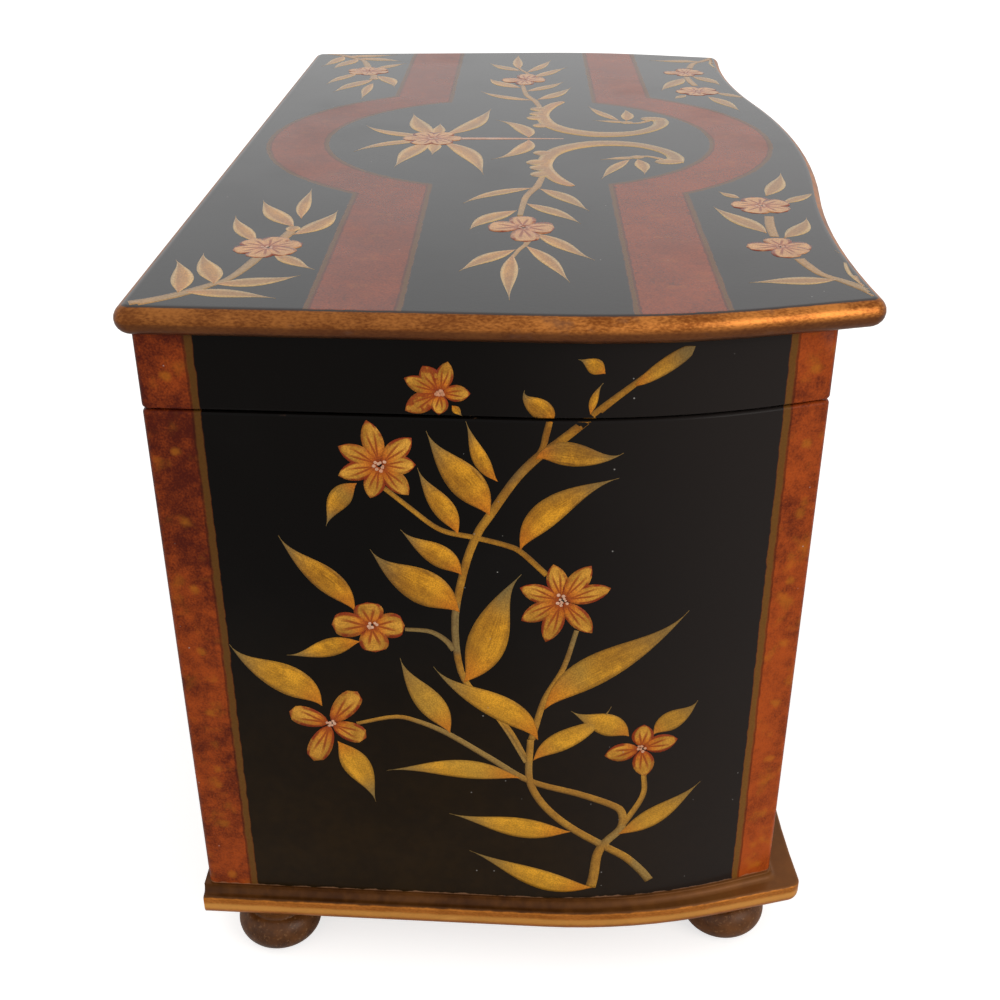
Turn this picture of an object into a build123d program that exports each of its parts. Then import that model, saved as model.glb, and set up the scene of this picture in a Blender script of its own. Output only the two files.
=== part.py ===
# Jewelry chest with a serpentine front, bowed ends, a hinged lid and a lift-out tray.
# Millimetres. X runs along the chest, the serpentine front faces -Y and Z is up.
# The origin is at the middle of the chest's outline, on the floor.

import os
from math import asin, atan, cos, degrees, radians, sin, sqrt, tan

from build123d import *

# Carcase
case_length = 410.0          # between the back corners
case_depth = 210.0           # from the back to the front corners
wall_height = 193.0
back_wall = 12.0
front_wall = 12.0            # at the front corners
end_wall = 17.0              # at the back corners
seam_gap = 0.4               # between the case and the closed lid
corner_radius = 2.5
arris_radius = 1.2           # eased edges along the seam

# Bowed ends
front_corner_inset = 10.4    # how far the front corners stand in from the back ones
bow_rise = 7.2               # how far the bow's apex stands out from the back corners
bow_from_front = 51.7        # from the front corner back to the bow's apex
bow_radius = 210.0

# Serpentine front
serpentine_rise = 11.5       # from the hollows to the middle of the bulge
serpentine_run = 150.0       # along the chest, from the bulge to each hollow

# Lid
lid_board = 8.8
lid_rim_height = 24.6
lid_bullnose = 4.3
lid_corner_radius = 5.5
lid_end_overhang = 4.4
lid_back_overhang = 4.2
lid_front_overhang = 12.6
lid_lining = 4.0

# Plinth
plinth_end_overhang = 4.4
plinth_back_overhang = 1.7
plinth_front_overhang = 11.0
plinth_board_height = 9.4
plinth_cove_height = 3.2
plinth_cove_radius = 2.3
plinth_lip = 0.6             # the cove's top edge shows this far beyond the case
plinth_shoulder = 1.2
plinth_nose = 4.5
plinth_corner_radius = 4.8

# Turned feet
foot_height = 20.4
foot_radius = 15.8           # at the widest
foot_bun_radius = 7.7        # of the bun's rounded side
foot_neck_radius = 11.0
foot_neck_height = 1.4
foot_collar_radius = 12.6
foot_tenon_radius = 5.0
foot_tenon_length = 8.0
foot_from_end_back = 10.5
foot_from_back = 23.0
foot_from_end_front = 18.8
foot_from_front = 15.0
joint_clearance = 0.05       # round a glued tenon or a screw in its hole

# Linings
floor_lining_thickness = 3.0
liner_thickness = 2.5
lining_clearance = 0.2

# Tray
tray_height = 42.0
tray_rail = 8.0
tray_corner_radius = 2.0
tray_eased_edge = 1.2
tray_floor_thickness = 3.0
tray_floor_housing = 4.0     # how far the tray's floor reaches into its rails
tray_below_rim = 2.0
tray_clearance = 0.6
tray_seat_gap = 0.2
notch_width = 44.0
notch_depth = 15.0
divider_thickness = 4.0
divider_below_rail = 4.0
compartment_count = 3
ring_row_depth = 60.0
ring_roll_count = 4
ring_roll_height = 17.0
tray_pad_thickness = 2.0
soft_gap = 0.3               # round each soft roll and pad
soft_edge = 0.8

# Butt hinges
hinge_length = 38.0
hinge_from_middle = 117.0
hinge_leaf_width = 11.0
hinge_leaf = 1.0
hinge_barrel_radius = 1.6
hinge_pin_radius = 0.8
hinge_running_clearance = 0.05
hinge_side_clearance = 0.3
hinge_mortise_clearance = 0.1
hinge_knuckles = 5
screws_per_leaf = 2
hinge_screw_pitch = 22.0

# Screws
countersink_angle = 90.0
hinge_screw_radius = 1.0
hinge_screw_head_radius = 1.9
hinge_screw_length = 8.0
plinth_screw_radius = 2.0
plinth_screw_head_radius = 3.8
plinth_screw_length = 24.0
plinth_screw_sink = 3.0      # how deep the heads lie in the plinth
plinth_screw_from_middle = 120.0

# Heights
plinth_bottom = foot_height
plinth_top = plinth_bottom + plinth_board_height + plinth_cove_height
case_top = plinth_top + wall_height
rim_bottom = case_top + seam_gap
rim_top = rim_bottom + lid_rim_height
lid_top = rim_top + lid_board
tray_top = case_top - tray_below_rim
tray_bottom = tray_top - tray_height
tray_floor_top = tray_bottom + tray_floor_thickness

# Serpentine front: one convex arc between two hollow arcs of the same radius
half_length = case_length / 2
serpentine_angle = 2 * degrees(atan(serpentine_rise / serpentine_run))
serpentine_radius = serpentine_run / (2 * sin(radians(serpentine_angle)))


def flare_angle(end_out, front_out):
    """Degrees that a hollow turns outward, from its deepest point to the front corner."""
    corner_x = half_length - front_corner_inset + end_out
    return degrees(asin((corner_x - serpentine_run) / (serpentine_radius - front_out)))


# Depths, with the outline of the whole chest centred on the origin
corner_flare = serpentine_radius * (1 - cos(radians(flare_angle(0, 0))))
bulge_out = serpentine_rise - corner_flare
overall_depth = case_depth + bulge_out + lid_back_overhang + lid_front_overhang
back_y = overall_depth / 2 - lid_back_overhang
front_corner_y = back_y - case_depth
bulge_y = front_corner_y - bulge_out

# The well inside the case
well_x = half_length - end_wall
well_back_y = back_y - back_wall
well_front_y = front_corner_y + front_wall
well_length = 2 * well_x
well_depth = well_back_y - well_front_y
well_middle_y = (well_back_y + well_front_y) / 2

os.makedirs("parts", exist_ok=True)


def save(builder, name):
    builder.part.label = name
    export_step(builder.part, f"parts/{name}.step")


def plan(end_out, back_out, front_out, front_round, back_round):
    """The chest's outline as a face, each side moved out by its own amount."""
    hollow_turn = serpentine_angle + flare_angle(end_out, front_out)
    with BuildSketch() as outline:
        with BuildLine():
            bulge = JernArc(
                start=(0, bulge_y - front_out),
                tangent=(1, 0),
                radius=serpentine_radius + front_out,
                arc_size=serpentine_angle,
            )
            hollow = JernArc(
                start=bulge @ 1,
                tangent=bulge % 1,
                radius=serpentine_radius - front_out,
                arc_size=-hollow_turn,
            )
            end = FilletPolyline(
                hollow @ 1,
                (half_length + bow_rise + end_out, front_corner_y + bow_from_front),
                (half_length + end_out, back_y + back_out),
                radius=bow_radius,
            )
            Line(end @ 1, (0, back_y + back_out))
            mirror(about=Plane.YZ)
        make_face()
        for corner, radius in ((hollow @ 1, front_round), (end @ 1, back_round)):
            if radius > 0:
                pair = [(side * corner.X, corner.Y) for side in (-1, 1)]
                fillet([outline.vertices().sort_by_distance(point)[0] for point in pair], radius)
    return outline.sketch


def mitred_boards(ring, inner_x, inner_front, inner_back, outer_front, outer_back):
    """Cut a ring of walls into front, back, left and right boards along its corner mitres."""
    reach = 5    # each cut runs this many wall thicknesses out, well past the walls

    def far(inner, outer):
        return tuple(a + reach * (b - a) for a, b in zip(inner, outer))

    corners = []
    for side in (-1, 1):
        front = (side * inner_x, inner_front)
        back = (side * inner_x, inner_back)
        corners.append(
            (front, far(front, (side * outer_front[0], outer_front[1])),
             back, far(back, (side * outer_back[0], outer_back[1])))
        )
    left, right = corners
    wedges = {
        "front": (left[0], right[0], right[1], left[1]),
        "back": (left[2], left[3], right[3], right[2]),
        "left": (left[0], left[1], left[3], left[2]),
        "right": (right[0], right[2], right[3], right[1]),
    }
    boards = {}
    for name, points in wedges.items():
        with BuildPart() as board:
            add(ring)
            bottom = board.part.bounding_box().min.Z
            with BuildSketch(Plane.XY.offset(bottom)):
                Polygon(*points, align=None)
            extrude(amount=board.part.bounding_box().size.Z, mode=Mode.INTERSECT)
        boards[name] = board.part
    return boards


# Butt hinges, built round a pin along X with the case's leaf below the pin
knuckle_length = hinge_length / hinge_knuckles
leaf_edge = hinge_barrel_radius + hinge_side_clearance
screw_row = -(leaf_edge + hinge_leaf_width) / 2


def knuckle_middle(index):
    return (index - (hinge_knuckles - 1) / 2) * knuckle_length


def hinge_leaf_shape(knuckles):
    """One leaf, let in below the pin, with its own knuckles."""
    plate_top = -seam_gap / 2
    with BuildPart() as leaf:
        with BuildSketch(Plane.XY.offset(plate_top)):
            with Locations((0, -hinge_leaf_width)):
                Rectangle(
                    hinge_length,
                    hinge_leaf_width - leaf_edge,
                    align=(Align.CENTER, Align.MIN),
                )
        extrude(amount=-hinge_leaf)
        for index in knuckles:
            width = knuckle_length - hinge_side_clearance
            with BuildSketch(Plane.YZ.offset(knuckle_middle(index) - width / 2)):
                with Locations((0, plate_top)):
                    Rectangle(leaf_edge, hinge_leaf, align=(Align.MAX, Align.MAX))
                Circle(hinge_barrel_radius)
                Circle(hinge_pin_radius + hinge_running_clearance, mode=Mode.SUBTRACT)
            extrude(amount=width)
        with Locations(Plane.XY.offset(plate_top)):
            with Locations((0, screw_row)):
                with GridLocations(hinge_screw_pitch, 0, screws_per_leaf, 1):
                    CounterSinkHole(
                        radius=hinge_screw_radius + joint_clearance,
                        counter_sink_radius=hinge_screw_head_radius + joint_clearance,
                        counter_sink_angle=countersink_angle,
                    )
    return leaf.part


def screw_shape(radius, head_radius, length):
    """A countersunk screw with its head at the origin, pointing down."""
    head = (head_radius - radius) / tan(radians(countersink_angle / 2))
    with BuildPart() as screw:
        with BuildSketch(Plane.XZ):
            Polygon(
                (0, 0),
                (head_radius, 0),
                (radius, -head),
                (radius, radius - length),
                (0, -length),
                align=None,
            )
        revolve(axis=Axis.Z)
    return screw.part


case_leaf = hinge_leaf_shape(range(0, hinge_knuckles, 2))
with BuildPart() as lid_leaf:
    add(mirror(hinge_leaf_shape(range(1, hinge_knuckles, 2)), about=Plane.XY, mode=Mode.PRIVATE))
hinge_screw = screw_shape(hinge_screw_radius, hinge_screw_head_radius, hinge_screw_length)
plinth_screw = screw_shape(plinth_screw_radius, plinth_screw_head_radius, plinth_screw_length)

hinge_z = case_top + seam_gap / 2
hinge_x = {"left": -hinge_from_middle, "right": hinge_from_middle}


def cut_for_hinges(leaf_face):
    """Cut the mortises, the barrels' grooves and the screw holes into the board being built."""
    cut_length = hinge_length + 2 * hinge_mortise_clearance
    for x in hinge_x.values():
        with Locations((x, back_y, leaf_face)):
            Box(
                cut_length,
                2 * (hinge_leaf_width + hinge_mortise_clearance),
                2 * hinge_leaf,
                mode=Mode.SUBTRACT,
            )
        with Locations((x, back_y, hinge_z)):
            Cylinder(
                hinge_barrel_radius + hinge_side_clearance,
                cut_length,
                rotation=(0, 90, 0),
                mode=Mode.SUBTRACT,
            )
        with Locations((x, back_y + screw_row, leaf_face)):
            with GridLocations(hinge_screw_pitch, 0, screws_per_leaf, 1):
                Cylinder(
                    hinge_screw_radius + joint_clearance,
                    2 * (hinge_screw_length + joint_clearance),
                    mode=Mode.SUBTRACT,
                )


# Screws that hold the case on its plinth, driven from below
plinth_screw_heads = plinth_bottom + plinth_screw_sink
plinth_screw_places = [
    (column * plinth_screw_from_middle, row, plinth_screw_heads)
    for column in (-1, 0, 1)
    for row in (back_y - back_wall / 2, front_corner_y + front_wall / 2)
]


def cut_plinth_screw_holes():
    with Locations(*plinth_screw_places):
        Cylinder(
            plinth_screw_radius + joint_clearance,
            plinth_screw_length + joint_clearance,
            align=(Align.CENTER, Align.CENTER, Align.MIN),
            mode=Mode.SUBTRACT,
        )


# Turned feet
foot_places = {
    "foot_front_left": (foot_from_end_front - half_length, front_corner_y + foot_from_front),
    "foot_front_right": (half_length - foot_from_end_front, front_corner_y + foot_from_front),
    "foot_back_left": (foot_from_end_back - half_length, back_y - foot_from_back),
    "foot_back_right": (half_length - foot_from_end_back, back_y - foot_from_back),
}
foot_base_radius = foot_radius - foot_bun_radius
foot_shoulder = sqrt(foot_bun_radius**2 - (foot_neck_radius - foot_base_radius) ** 2)
foot_bun_height = foot_bun_radius + foot_shoulder
with BuildPart() as turned_foot:
    with BuildSketch(Plane.XZ):
        with BuildLine():
            base = Line((0, 0), (foot_base_radius, 0))
            bun = ThreePointArc(
                base @ 1,
                (foot_radius, foot_bun_radius),
                (foot_neck_radius, foot_bun_height),
            )
            Polyline(
                bun @ 1,
                (foot_neck_radius, foot_bun_height + foot_neck_height),
                (foot_collar_radius, foot_height),
                (foot_tenon_radius, foot_height),
                (foot_tenon_radius, foot_height + foot_tenon_length),
                (0, foot_height + foot_tenon_length),
                base @ 0,
            )
        make_face()
    revolve(axis=Axis.Z)

for name, place in foot_places.items():
    with BuildPart() as foot:
        with Locations(place):
            add(turned_foot.part)
    save(foot, name)

# Plinth: a board with a nosed edge and a cove up to the case, both cut flush at the back
cove_foot = plinth_bottom + plinth_board_height
with BuildPart() as plinth_board:
    with BuildSketch(Plane.XY.offset(plinth_bottom)):
        add(
            plan(
                plinth_end_overhang,
                plinth_back_overhang,
                plinth_front_overhang,
                plinth_corner_radius,
                0,
            )
        )
    extrude(amount=plinth_board_height)
    for face, nosing in ((0, plinth_nose), (-1, plinth_shoulder)):
        rim = plinth_board.faces().sort_by(Axis.Z)[face].edges()
        fillet(rim.filter_by(lambda edge: edge.center().Y < back_y), nosing)
    with BuildSketch(Plane.XY.offset(cove_foot)):
        add(plan(plinth_lip, plinth_back_overhang, plinth_lip, corner_radius, 0))
    extrude(amount=plinth_cove_height)
    inside_corners = plinth_board.edges(Select.LAST).group_by(Axis.Z)[0]
    fillet(inside_corners.filter_by(lambda edge: edge.center().Y < back_y), plinth_cove_radius)
    with Locations(*[(*place, plinth_bottom) for place in foot_places.values()]):
        Cylinder(
            foot_tenon_radius + joint_clearance,
            foot_tenon_length + joint_clearance,
            align=(Align.CENTER, Align.CENTER, Align.MIN),
            mode=Mode.SUBTRACT,
        )
    cut_plinth_screw_holes()
    with Locations(*plinth_screw_places):
        Cylinder(
            plinth_screw_head_radius + joint_clearance,
            plinth_screw_sink,
            align=(Align.CENTER, Align.CENTER, Align.MAX),
            mode=Mode.SUBTRACT,
        )
        Cone(
            plinth_screw_head_radius + joint_clearance,
            plinth_screw_radius + joint_clearance,
            (plinth_screw_head_radius - plinth_screw_radius) / tan(radians(countersink_angle / 2)),
            align=(Align.CENTER, Align.CENTER, Align.MIN),
            mode=Mode.SUBTRACT,
        )
save(plinth_board, "plinth_board")

with BuildPart() as plinth_screws:
    with Locations(*plinth_screw_places):
        add(plinth_screw, rotation=(180, 0, 0))
save(plinth_screws, "plinth_screws")


# Case: four mitred boards that stand on the plinth
def walls(bottom, height, eased_face):
    """The ring of walls round the well, with the outer edge at the seam rounded over."""
    with BuildPart() as ring:
        with BuildSketch(Plane.XY.offset(bottom)):
            add(plan(0, 0, 0, corner_radius, corner_radius))
            with Locations((0, well_middle_y)):
                Rectangle(well_length, well_depth, mode=Mode.SUBTRACT)
        extrude(amount=height)
        fillet(ring.faces().sort_by(Axis.Z)[eased_face].outer_wire().edges(), arris_radius)
    return ring.part


def wall_boards(ring):
    return mitred_boards(
        ring,
        inner_x=well_x,
        inner_front=well_front_y,
        inner_back=well_back_y,
        outer_front=(half_length - front_corner_inset, front_corner_y),
        outer_back=(half_length, back_y),
    )


case_boards = wall_boards(walls(plinth_top, wall_height, eased_face=-1))
for side in ("left", "right"):
    with BuildPart() as end_board:
        add(case_boards[side])
    save(end_board, f"{side}_end_board")

with BuildPart() as front_board:
    add(case_boards["front"])
    cut_plinth_screw_holes()
save(front_board, "front_board")

with BuildPart() as back_board:
    add(case_boards["back"])
    cut_plinth_screw_holes()
    cut_for_hinges(case_top)
save(back_board, "back_board")

# Linings of the well: covered boards on the floor and up the walls as far as the tray
lining_length = well_length - 2 * lining_clearance
lining_depth = well_depth - 2 * lining_clearance
liner_bottom = plinth_top + floor_lining_thickness
liner_height = tray_bottom - tray_seat_gap - liner_bottom

with BuildPart() as floor_lining:
    with Locations((0, well_middle_y, plinth_top)):
        Box(
            lining_length,
            lining_depth,
            floor_lining_thickness,
            align=(Align.CENTER, Align.CENTER, Align.MIN),
        )
save(floor_lining, "floor_lining")

for name, side in (("front", -1), ("back", 1)):
    with BuildPart() as long_liner:
        y = well_middle_y + side * (lining_depth - liner_thickness) / 2
        with Locations((0, y, liner_bottom)):
            Box(
                lining_length,
                liner_thickness,
                liner_height,
                align=(Align.CENTER, Align.CENTER, Align.MIN),
            )
    save(long_liner, f"liner_{name}")

for name, side in (("left", -1), ("right", 1)):
    with BuildPart() as end_liner:
        x = side * (lining_length - liner_thickness) / 2
        with Locations((x, well_middle_y, liner_bottom)):
            Box(
                liner_thickness,
                lining_depth - 2 * (liner_thickness + lining_clearance),
                liner_height,
                align=(Align.CENTER, Align.CENTER, Align.MIN),
            )
    save(end_liner, f"liner_{name}")

# Lid: a bullnosed board on a mitred rim that repeats the case's walls
with BuildPart() as lid_top_board:
    with BuildSketch(Plane.XY.offset(rim_top)):
        add(
            plan(
                lid_end_overhang,
                lid_back_overhang,
                lid_front_overhang,
                lid_corner_radius,
                lid_corner_radius,
            )
        )
    extrude(amount=lid_board)
    nosed_faces = lid_top_board.faces().filter_by(Axis.Z)
    fillet(nosed_faces.edges(), lid_bullnose)
save(lid_top_board, "lid_top_board")

rim_boards = wall_boards(walls(rim_bottom, lid_rim_height, eased_face=0))
for side, board in rim_boards.items():
    with BuildPart() as rim_board:
        add(board)
        if side == "back":
            cut_for_hinges(rim_bottom)
    save(rim_board, f"lid_rim_{side}")

with BuildPart() as lid_lining_pad:
    with Locations((0, well_middle_y, rim_top)):
        Box(
            lining_length,
            lining_depth,
            lid_lining,
            align=(Align.CENTER, Align.CENTER, Align.MAX),
        )
    fillet(lid_lining_pad.faces().sort_by(Axis.Z)[0].edges(), soft_edge)
save(lid_lining_pad, "lid_lining_pad")

# Hinges
for side, x in hinge_x.items():
    place = (x, back_y, hinge_z)
    with BuildPart() as case_hinge_leaf:
        with Locations(place):
            add(case_leaf)
    save(case_hinge_leaf, f"case_hinge_leaf_{side}")

    with BuildPart() as lid_hinge_leaf:
        with Locations(place):
            add(lid_leaf)
    save(lid_hinge_leaf, f"lid_hinge_leaf_{side}")

    with BuildPart() as hinge_pin:
        with Locations(place):
            Cylinder(hinge_pin_radius, hinge_length, rotation=(0, 90, 0))
    save(hinge_pin, f"hinge_pin_{side}")

for body, face, turn in (("case", case_top, 0), ("lid", rim_bottom, 180)):
    with BuildPart() as hinge_screws:
        for x in hinge_x.values():
            with Locations((x, back_y + screw_row, face)):
                with GridLocations(hinge_screw_pitch, 0, screws_per_leaf, 1):
                    add(hinge_screw, rotation=(turn, 0, 0))
    save(hinge_screws, f"{body}_hinge_screws")

# Tray: a mitred frame round a let-in floor, with finger notches in its end rails
tray_length = well_length - 2 * tray_clearance
tray_depth = well_depth - 2 * tray_clearance
tray_inner_x = tray_length / 2 - tray_rail
tray_inner_back = well_middle_y + tray_depth / 2 - tray_rail
tray_inner_front = well_middle_y - tray_depth / 2 + tray_rail
notch_radius = (notch_width**2 / 4 + notch_depth**2) / (2 * notch_depth)

with BuildPart() as tray_frame:
    with BuildSketch(Plane.XY.offset(tray_bottom)):
        with Locations((0, well_middle_y)):
            RectangleRounded(tray_length, tray_depth, tray_corner_radius)
            Rectangle(tray_length - 2 * tray_rail, tray_depth - 2 * tray_rail, mode=Mode.SUBTRACT)
    extrude(amount=tray_height)
    fillet(tray_frame.faces().sort_by(Axis.Z)[-1].edges(), tray_eased_edge)
    housing = 2 * (tray_rail - tray_floor_housing)
    with Locations((0, well_middle_y, tray_bottom)):
        Box(
            tray_length - housing,
            tray_depth - housing,
            tray_floor_thickness,
            align=(Align.CENTER, Align.CENTER, Align.MIN),
            mode=Mode.SUBTRACT,
        )
    with Locations((0, well_middle_y, tray_top - notch_depth + notch_radius)):
        Cylinder(notch_radius, 2 * tray_length, rotation=(0, 90, 0), mode=Mode.SUBTRACT)

tray_rails = mitred_boards(
    tray_frame.part,
    inner_x=tray_inner_x,
    inner_front=tray_inner_front,
    inner_back=tray_inner_back,
    outer_front=(tray_length / 2, tray_inner_front - tray_rail),
    outer_back=(tray_length / 2, tray_inner_back + tray_rail),
)
for side, rail in tray_rails.items():
    with BuildPart() as rail_board:
        add(rail)
    save(rail_board, f"tray_rail_{side}")

with BuildPart() as tray_floor:
    with Locations((0, well_middle_y, tray_bottom)):
        Box(
            tray_length - housing,
            tray_depth - housing,
            tray_floor_thickness,
            align=(Align.CENTER, Align.CENTER, Align.MIN),
        )
save(tray_floor, "tray_floor")

# Dividers: one along the tray behind the ring rolls, and two across the row behind it
divider_height = tray_top - divider_below_rail - tray_floor_top
divider_back_y = tray_inner_front + ring_row_depth + divider_thickness
compartment_depth = tray_inner_back - divider_back_y
divider_total = (compartment_count - 1) * divider_thickness
compartment_length = (2 * tray_inner_x - divider_total) / compartment_count
divider_x = (compartment_length + divider_thickness) / 2

with BuildPart() as tray_divider_long:
    with Locations((0, divider_back_y, tray_floor_top)):
        Box(
            2 * tray_inner_x,
            divider_thickness,
            divider_height,
            align=(Align.CENTER, Align.MAX, Align.MIN),
        )
    fillet(tray_divider_long.edges().filter_by(Axis.X).group_by(Axis.Z)[-1], tray_eased_edge)
save(tray_divider_long, "tray_divider_long")

for name, side in (("left", -1), ("right", 1)):
    with BuildPart() as cross_divider:
        with Locations((side * divider_x, divider_back_y, tray_floor_top)):
            Box(
                divider_thickness,
                compartment_depth,
                divider_height,
                align=(Align.CENTER, Align.MIN, Align.MIN),
            )
        fillet(cross_divider.edges().filter_by(Axis.Y).group_by(Axis.Z)[-1], tray_eased_edge)
    save(cross_divider, f"tray_divider_{name}")

# Soft pads in the compartments and soft ring rolls in the front row
for name, step in (("left", -1), ("middle", 0), ("right", 1)):
    with BuildPart() as tray_pad:
        x = step * (compartment_length + divider_thickness)
        with Locations((x, divider_back_y + compartment_depth / 2, tray_floor_top)):
            Box(
                compartment_length - 2 * soft_gap,
                compartment_depth - 2 * soft_gap,
                tray_pad_thickness,
                align=(Align.CENTER, Align.CENTER, Align.MIN),
            )
        fillet(tray_pad.faces().sort_by(Axis.Z)[-1].edges(), soft_edge)
    save(tray_pad, f"tray_pad_{name}")

roll_pitch = ring_row_depth / ring_roll_count
roll_radius = (roll_pitch - soft_gap) / 2
for index in range(ring_roll_count):
    with BuildPart() as ring_roll:
        y = tray_inner_front + (index + 0.5) * roll_pitch
        with BuildSketch(Plane.YZ.offset(soft_gap - tray_inner_x)):
            with Locations((y, tray_floor_top + ring_roll_height - roll_radius)):
                Circle(roll_radius)
                Rectangle(
                    2 * roll_radius,
                    ring_roll_height - roll_radius,
                    align=(Align.CENTER, Align.MAX),
                )
        extrude(amount=2 * (tray_inner_x - soft_gap))
    save(ring_roll, f"ring_roll_{index + 1}")

print("overall", round(2 * (lid_top_board.part.bounding_box().max.X), 1),
      "by", round(overall_depth, 1), "by", round(lid_top, 1), "mm")
print("serpentine radius", round(serpentine_radius, 1), "mm, bulge", round(bulge_out, 1), "mm")
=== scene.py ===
# %% [markdown]
# # A painted jewelry chest
# The chest is a wooden box with a hinged lid, a lift-out tray and four bun feet. Its wood was made in a
# CAD program, and arrives here as the frame. This lesson gives it its lacquer, painting, gilding,
# velvet and brass. All sizes are in metres, and the front of the chest faces -Y.

# %% Load the frame
import math
import random

import bpy
from mathutils import Matrix, Vector


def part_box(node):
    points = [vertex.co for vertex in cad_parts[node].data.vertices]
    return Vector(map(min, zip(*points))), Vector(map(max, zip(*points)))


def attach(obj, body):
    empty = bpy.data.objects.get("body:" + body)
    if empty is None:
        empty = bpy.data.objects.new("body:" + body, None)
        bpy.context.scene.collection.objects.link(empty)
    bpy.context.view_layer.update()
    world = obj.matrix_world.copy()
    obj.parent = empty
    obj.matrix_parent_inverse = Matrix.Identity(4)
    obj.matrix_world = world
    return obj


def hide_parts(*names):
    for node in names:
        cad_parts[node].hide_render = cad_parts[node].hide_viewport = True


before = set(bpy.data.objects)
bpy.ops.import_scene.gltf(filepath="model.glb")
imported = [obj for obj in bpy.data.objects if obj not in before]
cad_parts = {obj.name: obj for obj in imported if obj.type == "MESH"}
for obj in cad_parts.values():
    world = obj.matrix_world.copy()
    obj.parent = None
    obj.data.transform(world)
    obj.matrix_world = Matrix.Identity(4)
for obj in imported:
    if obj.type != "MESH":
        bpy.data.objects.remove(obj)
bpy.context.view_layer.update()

print("the frame holds", len(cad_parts), "parts")

# %% [markdown]
# ## The places that everything else is measured from
# The lid meets the case at a seam. The painter's layout on each face is given in millimetres from that
# seam and from the middle of the chest's side, and turned into the frame's metres here.

# %% Name the main heights and edges
MM = 0.001
rim_low, rim_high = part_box("lid_rim_left")
end_low, end_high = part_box("left_end_board")
lid_low, lid_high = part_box("lid_top_board")
SEAM = (end_high.z + rim_low.z) / 2
CASE_FOOT = end_low.z
LID_UNDERSIDE = lid_low.z
LID_TOP = lid_high.z
CASE_BACK = end_high.y
CASE_FRONT = CASE_BACK - 210 * MM
CASE_HALF_FRONT = 194.6 * MM
CASE_HALF_BACK = 205.0 * MM
SIDE_MIDDLE = (CASE_BACK + CASE_FRONT) / 2
print("the seam lies", round(SEAM / MM, 1), "mm above the floor")


# %% [markdown]
# ## Selecting one thing at a time
# An operator acts on everything that is selected, and the frame arrives selected. So each step first
# clears the selection, and then picks its own piece. Many edits are one operator on the whole mesh, so
# one helper goes into edit mode, runs that operator and comes back.

# %% Select, finish or edit one piece
def only(piece):
    bpy.ops.object.select_all(action="DESELECT")
    piece.select_set(True)
    bpy.context.view_layer.objects.active = piece


def apply_modifiers(piece):
    only(piece)
    for name in [modifier.name for modifier in piece.modifiers]:
        bpy.ops.object.modifier_apply(modifier=name)


def edit_all_of(piece, operator, **settings):
    only(piece)
    bpy.ops.object.mode_set(mode="EDIT")
    bpy.ops.mesh.select_all(action="SELECT")
    operator(**settings)
    bpy.ops.object.mode_set(mode="OBJECT")


print("a piece can be selected, finished and edited by itself")


# %% [markdown]
# ## Camera
# The chest is seen from its left end, a little above the lid. A near camera makes the lid's far side
# look much narrower than its near side, so both the place and the lens matter.

# %% Place the camera
def place_camera(spot, yaw, pitch, roll, lens):
    ahead = Vector((math.cos(pitch) * math.cos(yaw), math.cos(pitch) * math.sin(yaw), -math.sin(pitch)))
    level_right = ahead.cross(Vector((0, 0, 1))).normalized()
    level_up = level_right.cross(ahead)
    right = math.cos(roll) * level_right + math.sin(roll) * level_up
    up = -math.sin(roll) * level_right + math.cos(roll) * level_up
    placing = Matrix((right, up, -ahead)).transposed().to_4x4()
    placing.translation = spot
    bpy.ops.object.camera_add()
    camera = bpy.context.object
    camera.name = "camera"
    camera.matrix_world = placing
    camera.data.lens = lens
    camera.data.clip_start = 0.01
    bpy.context.scene.camera = camera
    return camera


camera = place_camera(
    Vector((-0.56315, -0.00197, 0.3904)),
    yaw=math.radians(1.158),
    pitch=math.radians(28.472),
    roll=math.radians(-0.097),
    lens=47.04,
)
print("the camera stands", round(camera.location.length, 3), "m from the chest's middle")


# %% [markdown]
# ## Small helpers for material nodes
# A material is a tree of nodes. These helpers add one node, feed a socket with a number or with another
# socket, and build the three nodes that are used most: arithmetic, a soft step, and a colour mix.

# %% Add and link nodes
def add(tree, kind, **settings):
    node = tree.nodes.new("ShaderNode" + kind)
    for name, value in settings.items():
        setattr(node, name, value)
    return node


def feed(tree, socket, value):
    if isinstance(value, bpy.types.NodeSocket):
        tree.links.new(value, socket)
    elif value is not None:
        socket.default_value = value


def calc(tree, operation, first, second=None, third=None):
    node = add(tree, "Math", operation=operation)
    for socket, value in zip(node.inputs, (first, second, third)):
        feed(tree, socket, value)
    return node.outputs[0]


def plus(tree, first, second):
    return calc(tree, "ADD", first, second)


def minus(tree, first, second):
    return calc(tree, "SUBTRACT", first, second)


def times(tree, first, second):
    return calc(tree, "MULTIPLY", first, second)


def scaled(tree, value, factor, offset):
    return calc(tree, "MULTIPLY_ADD", value, factor, offset)


def axes_of(tree, place):
    apart = add(tree, "SeparateXYZ")
    feed(tree, apart.inputs[0], place)
    return apart.outputs


def step(tree, value, low, high, to_low=0.0, to_high=1.0):
    node = add(tree, "MapRange", interpolation_type="SMOOTHSTEP")
    for socket, number in zip(node.inputs, (value, low, high, to_low, to_high)):
        feed(tree, socket, number)
    return node.outputs[0]


def mix(tree, factor, first, second, blend_type="MIX"):
    node = add(tree, "Mix", data_type="RGBA", blend_type=blend_type)
    feed(tree, node.inputs[0], factor)
    feed(tree, node.inputs[6], first)
    feed(tree, node.inputs[7], second)
    return node.outputs[2]


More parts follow.
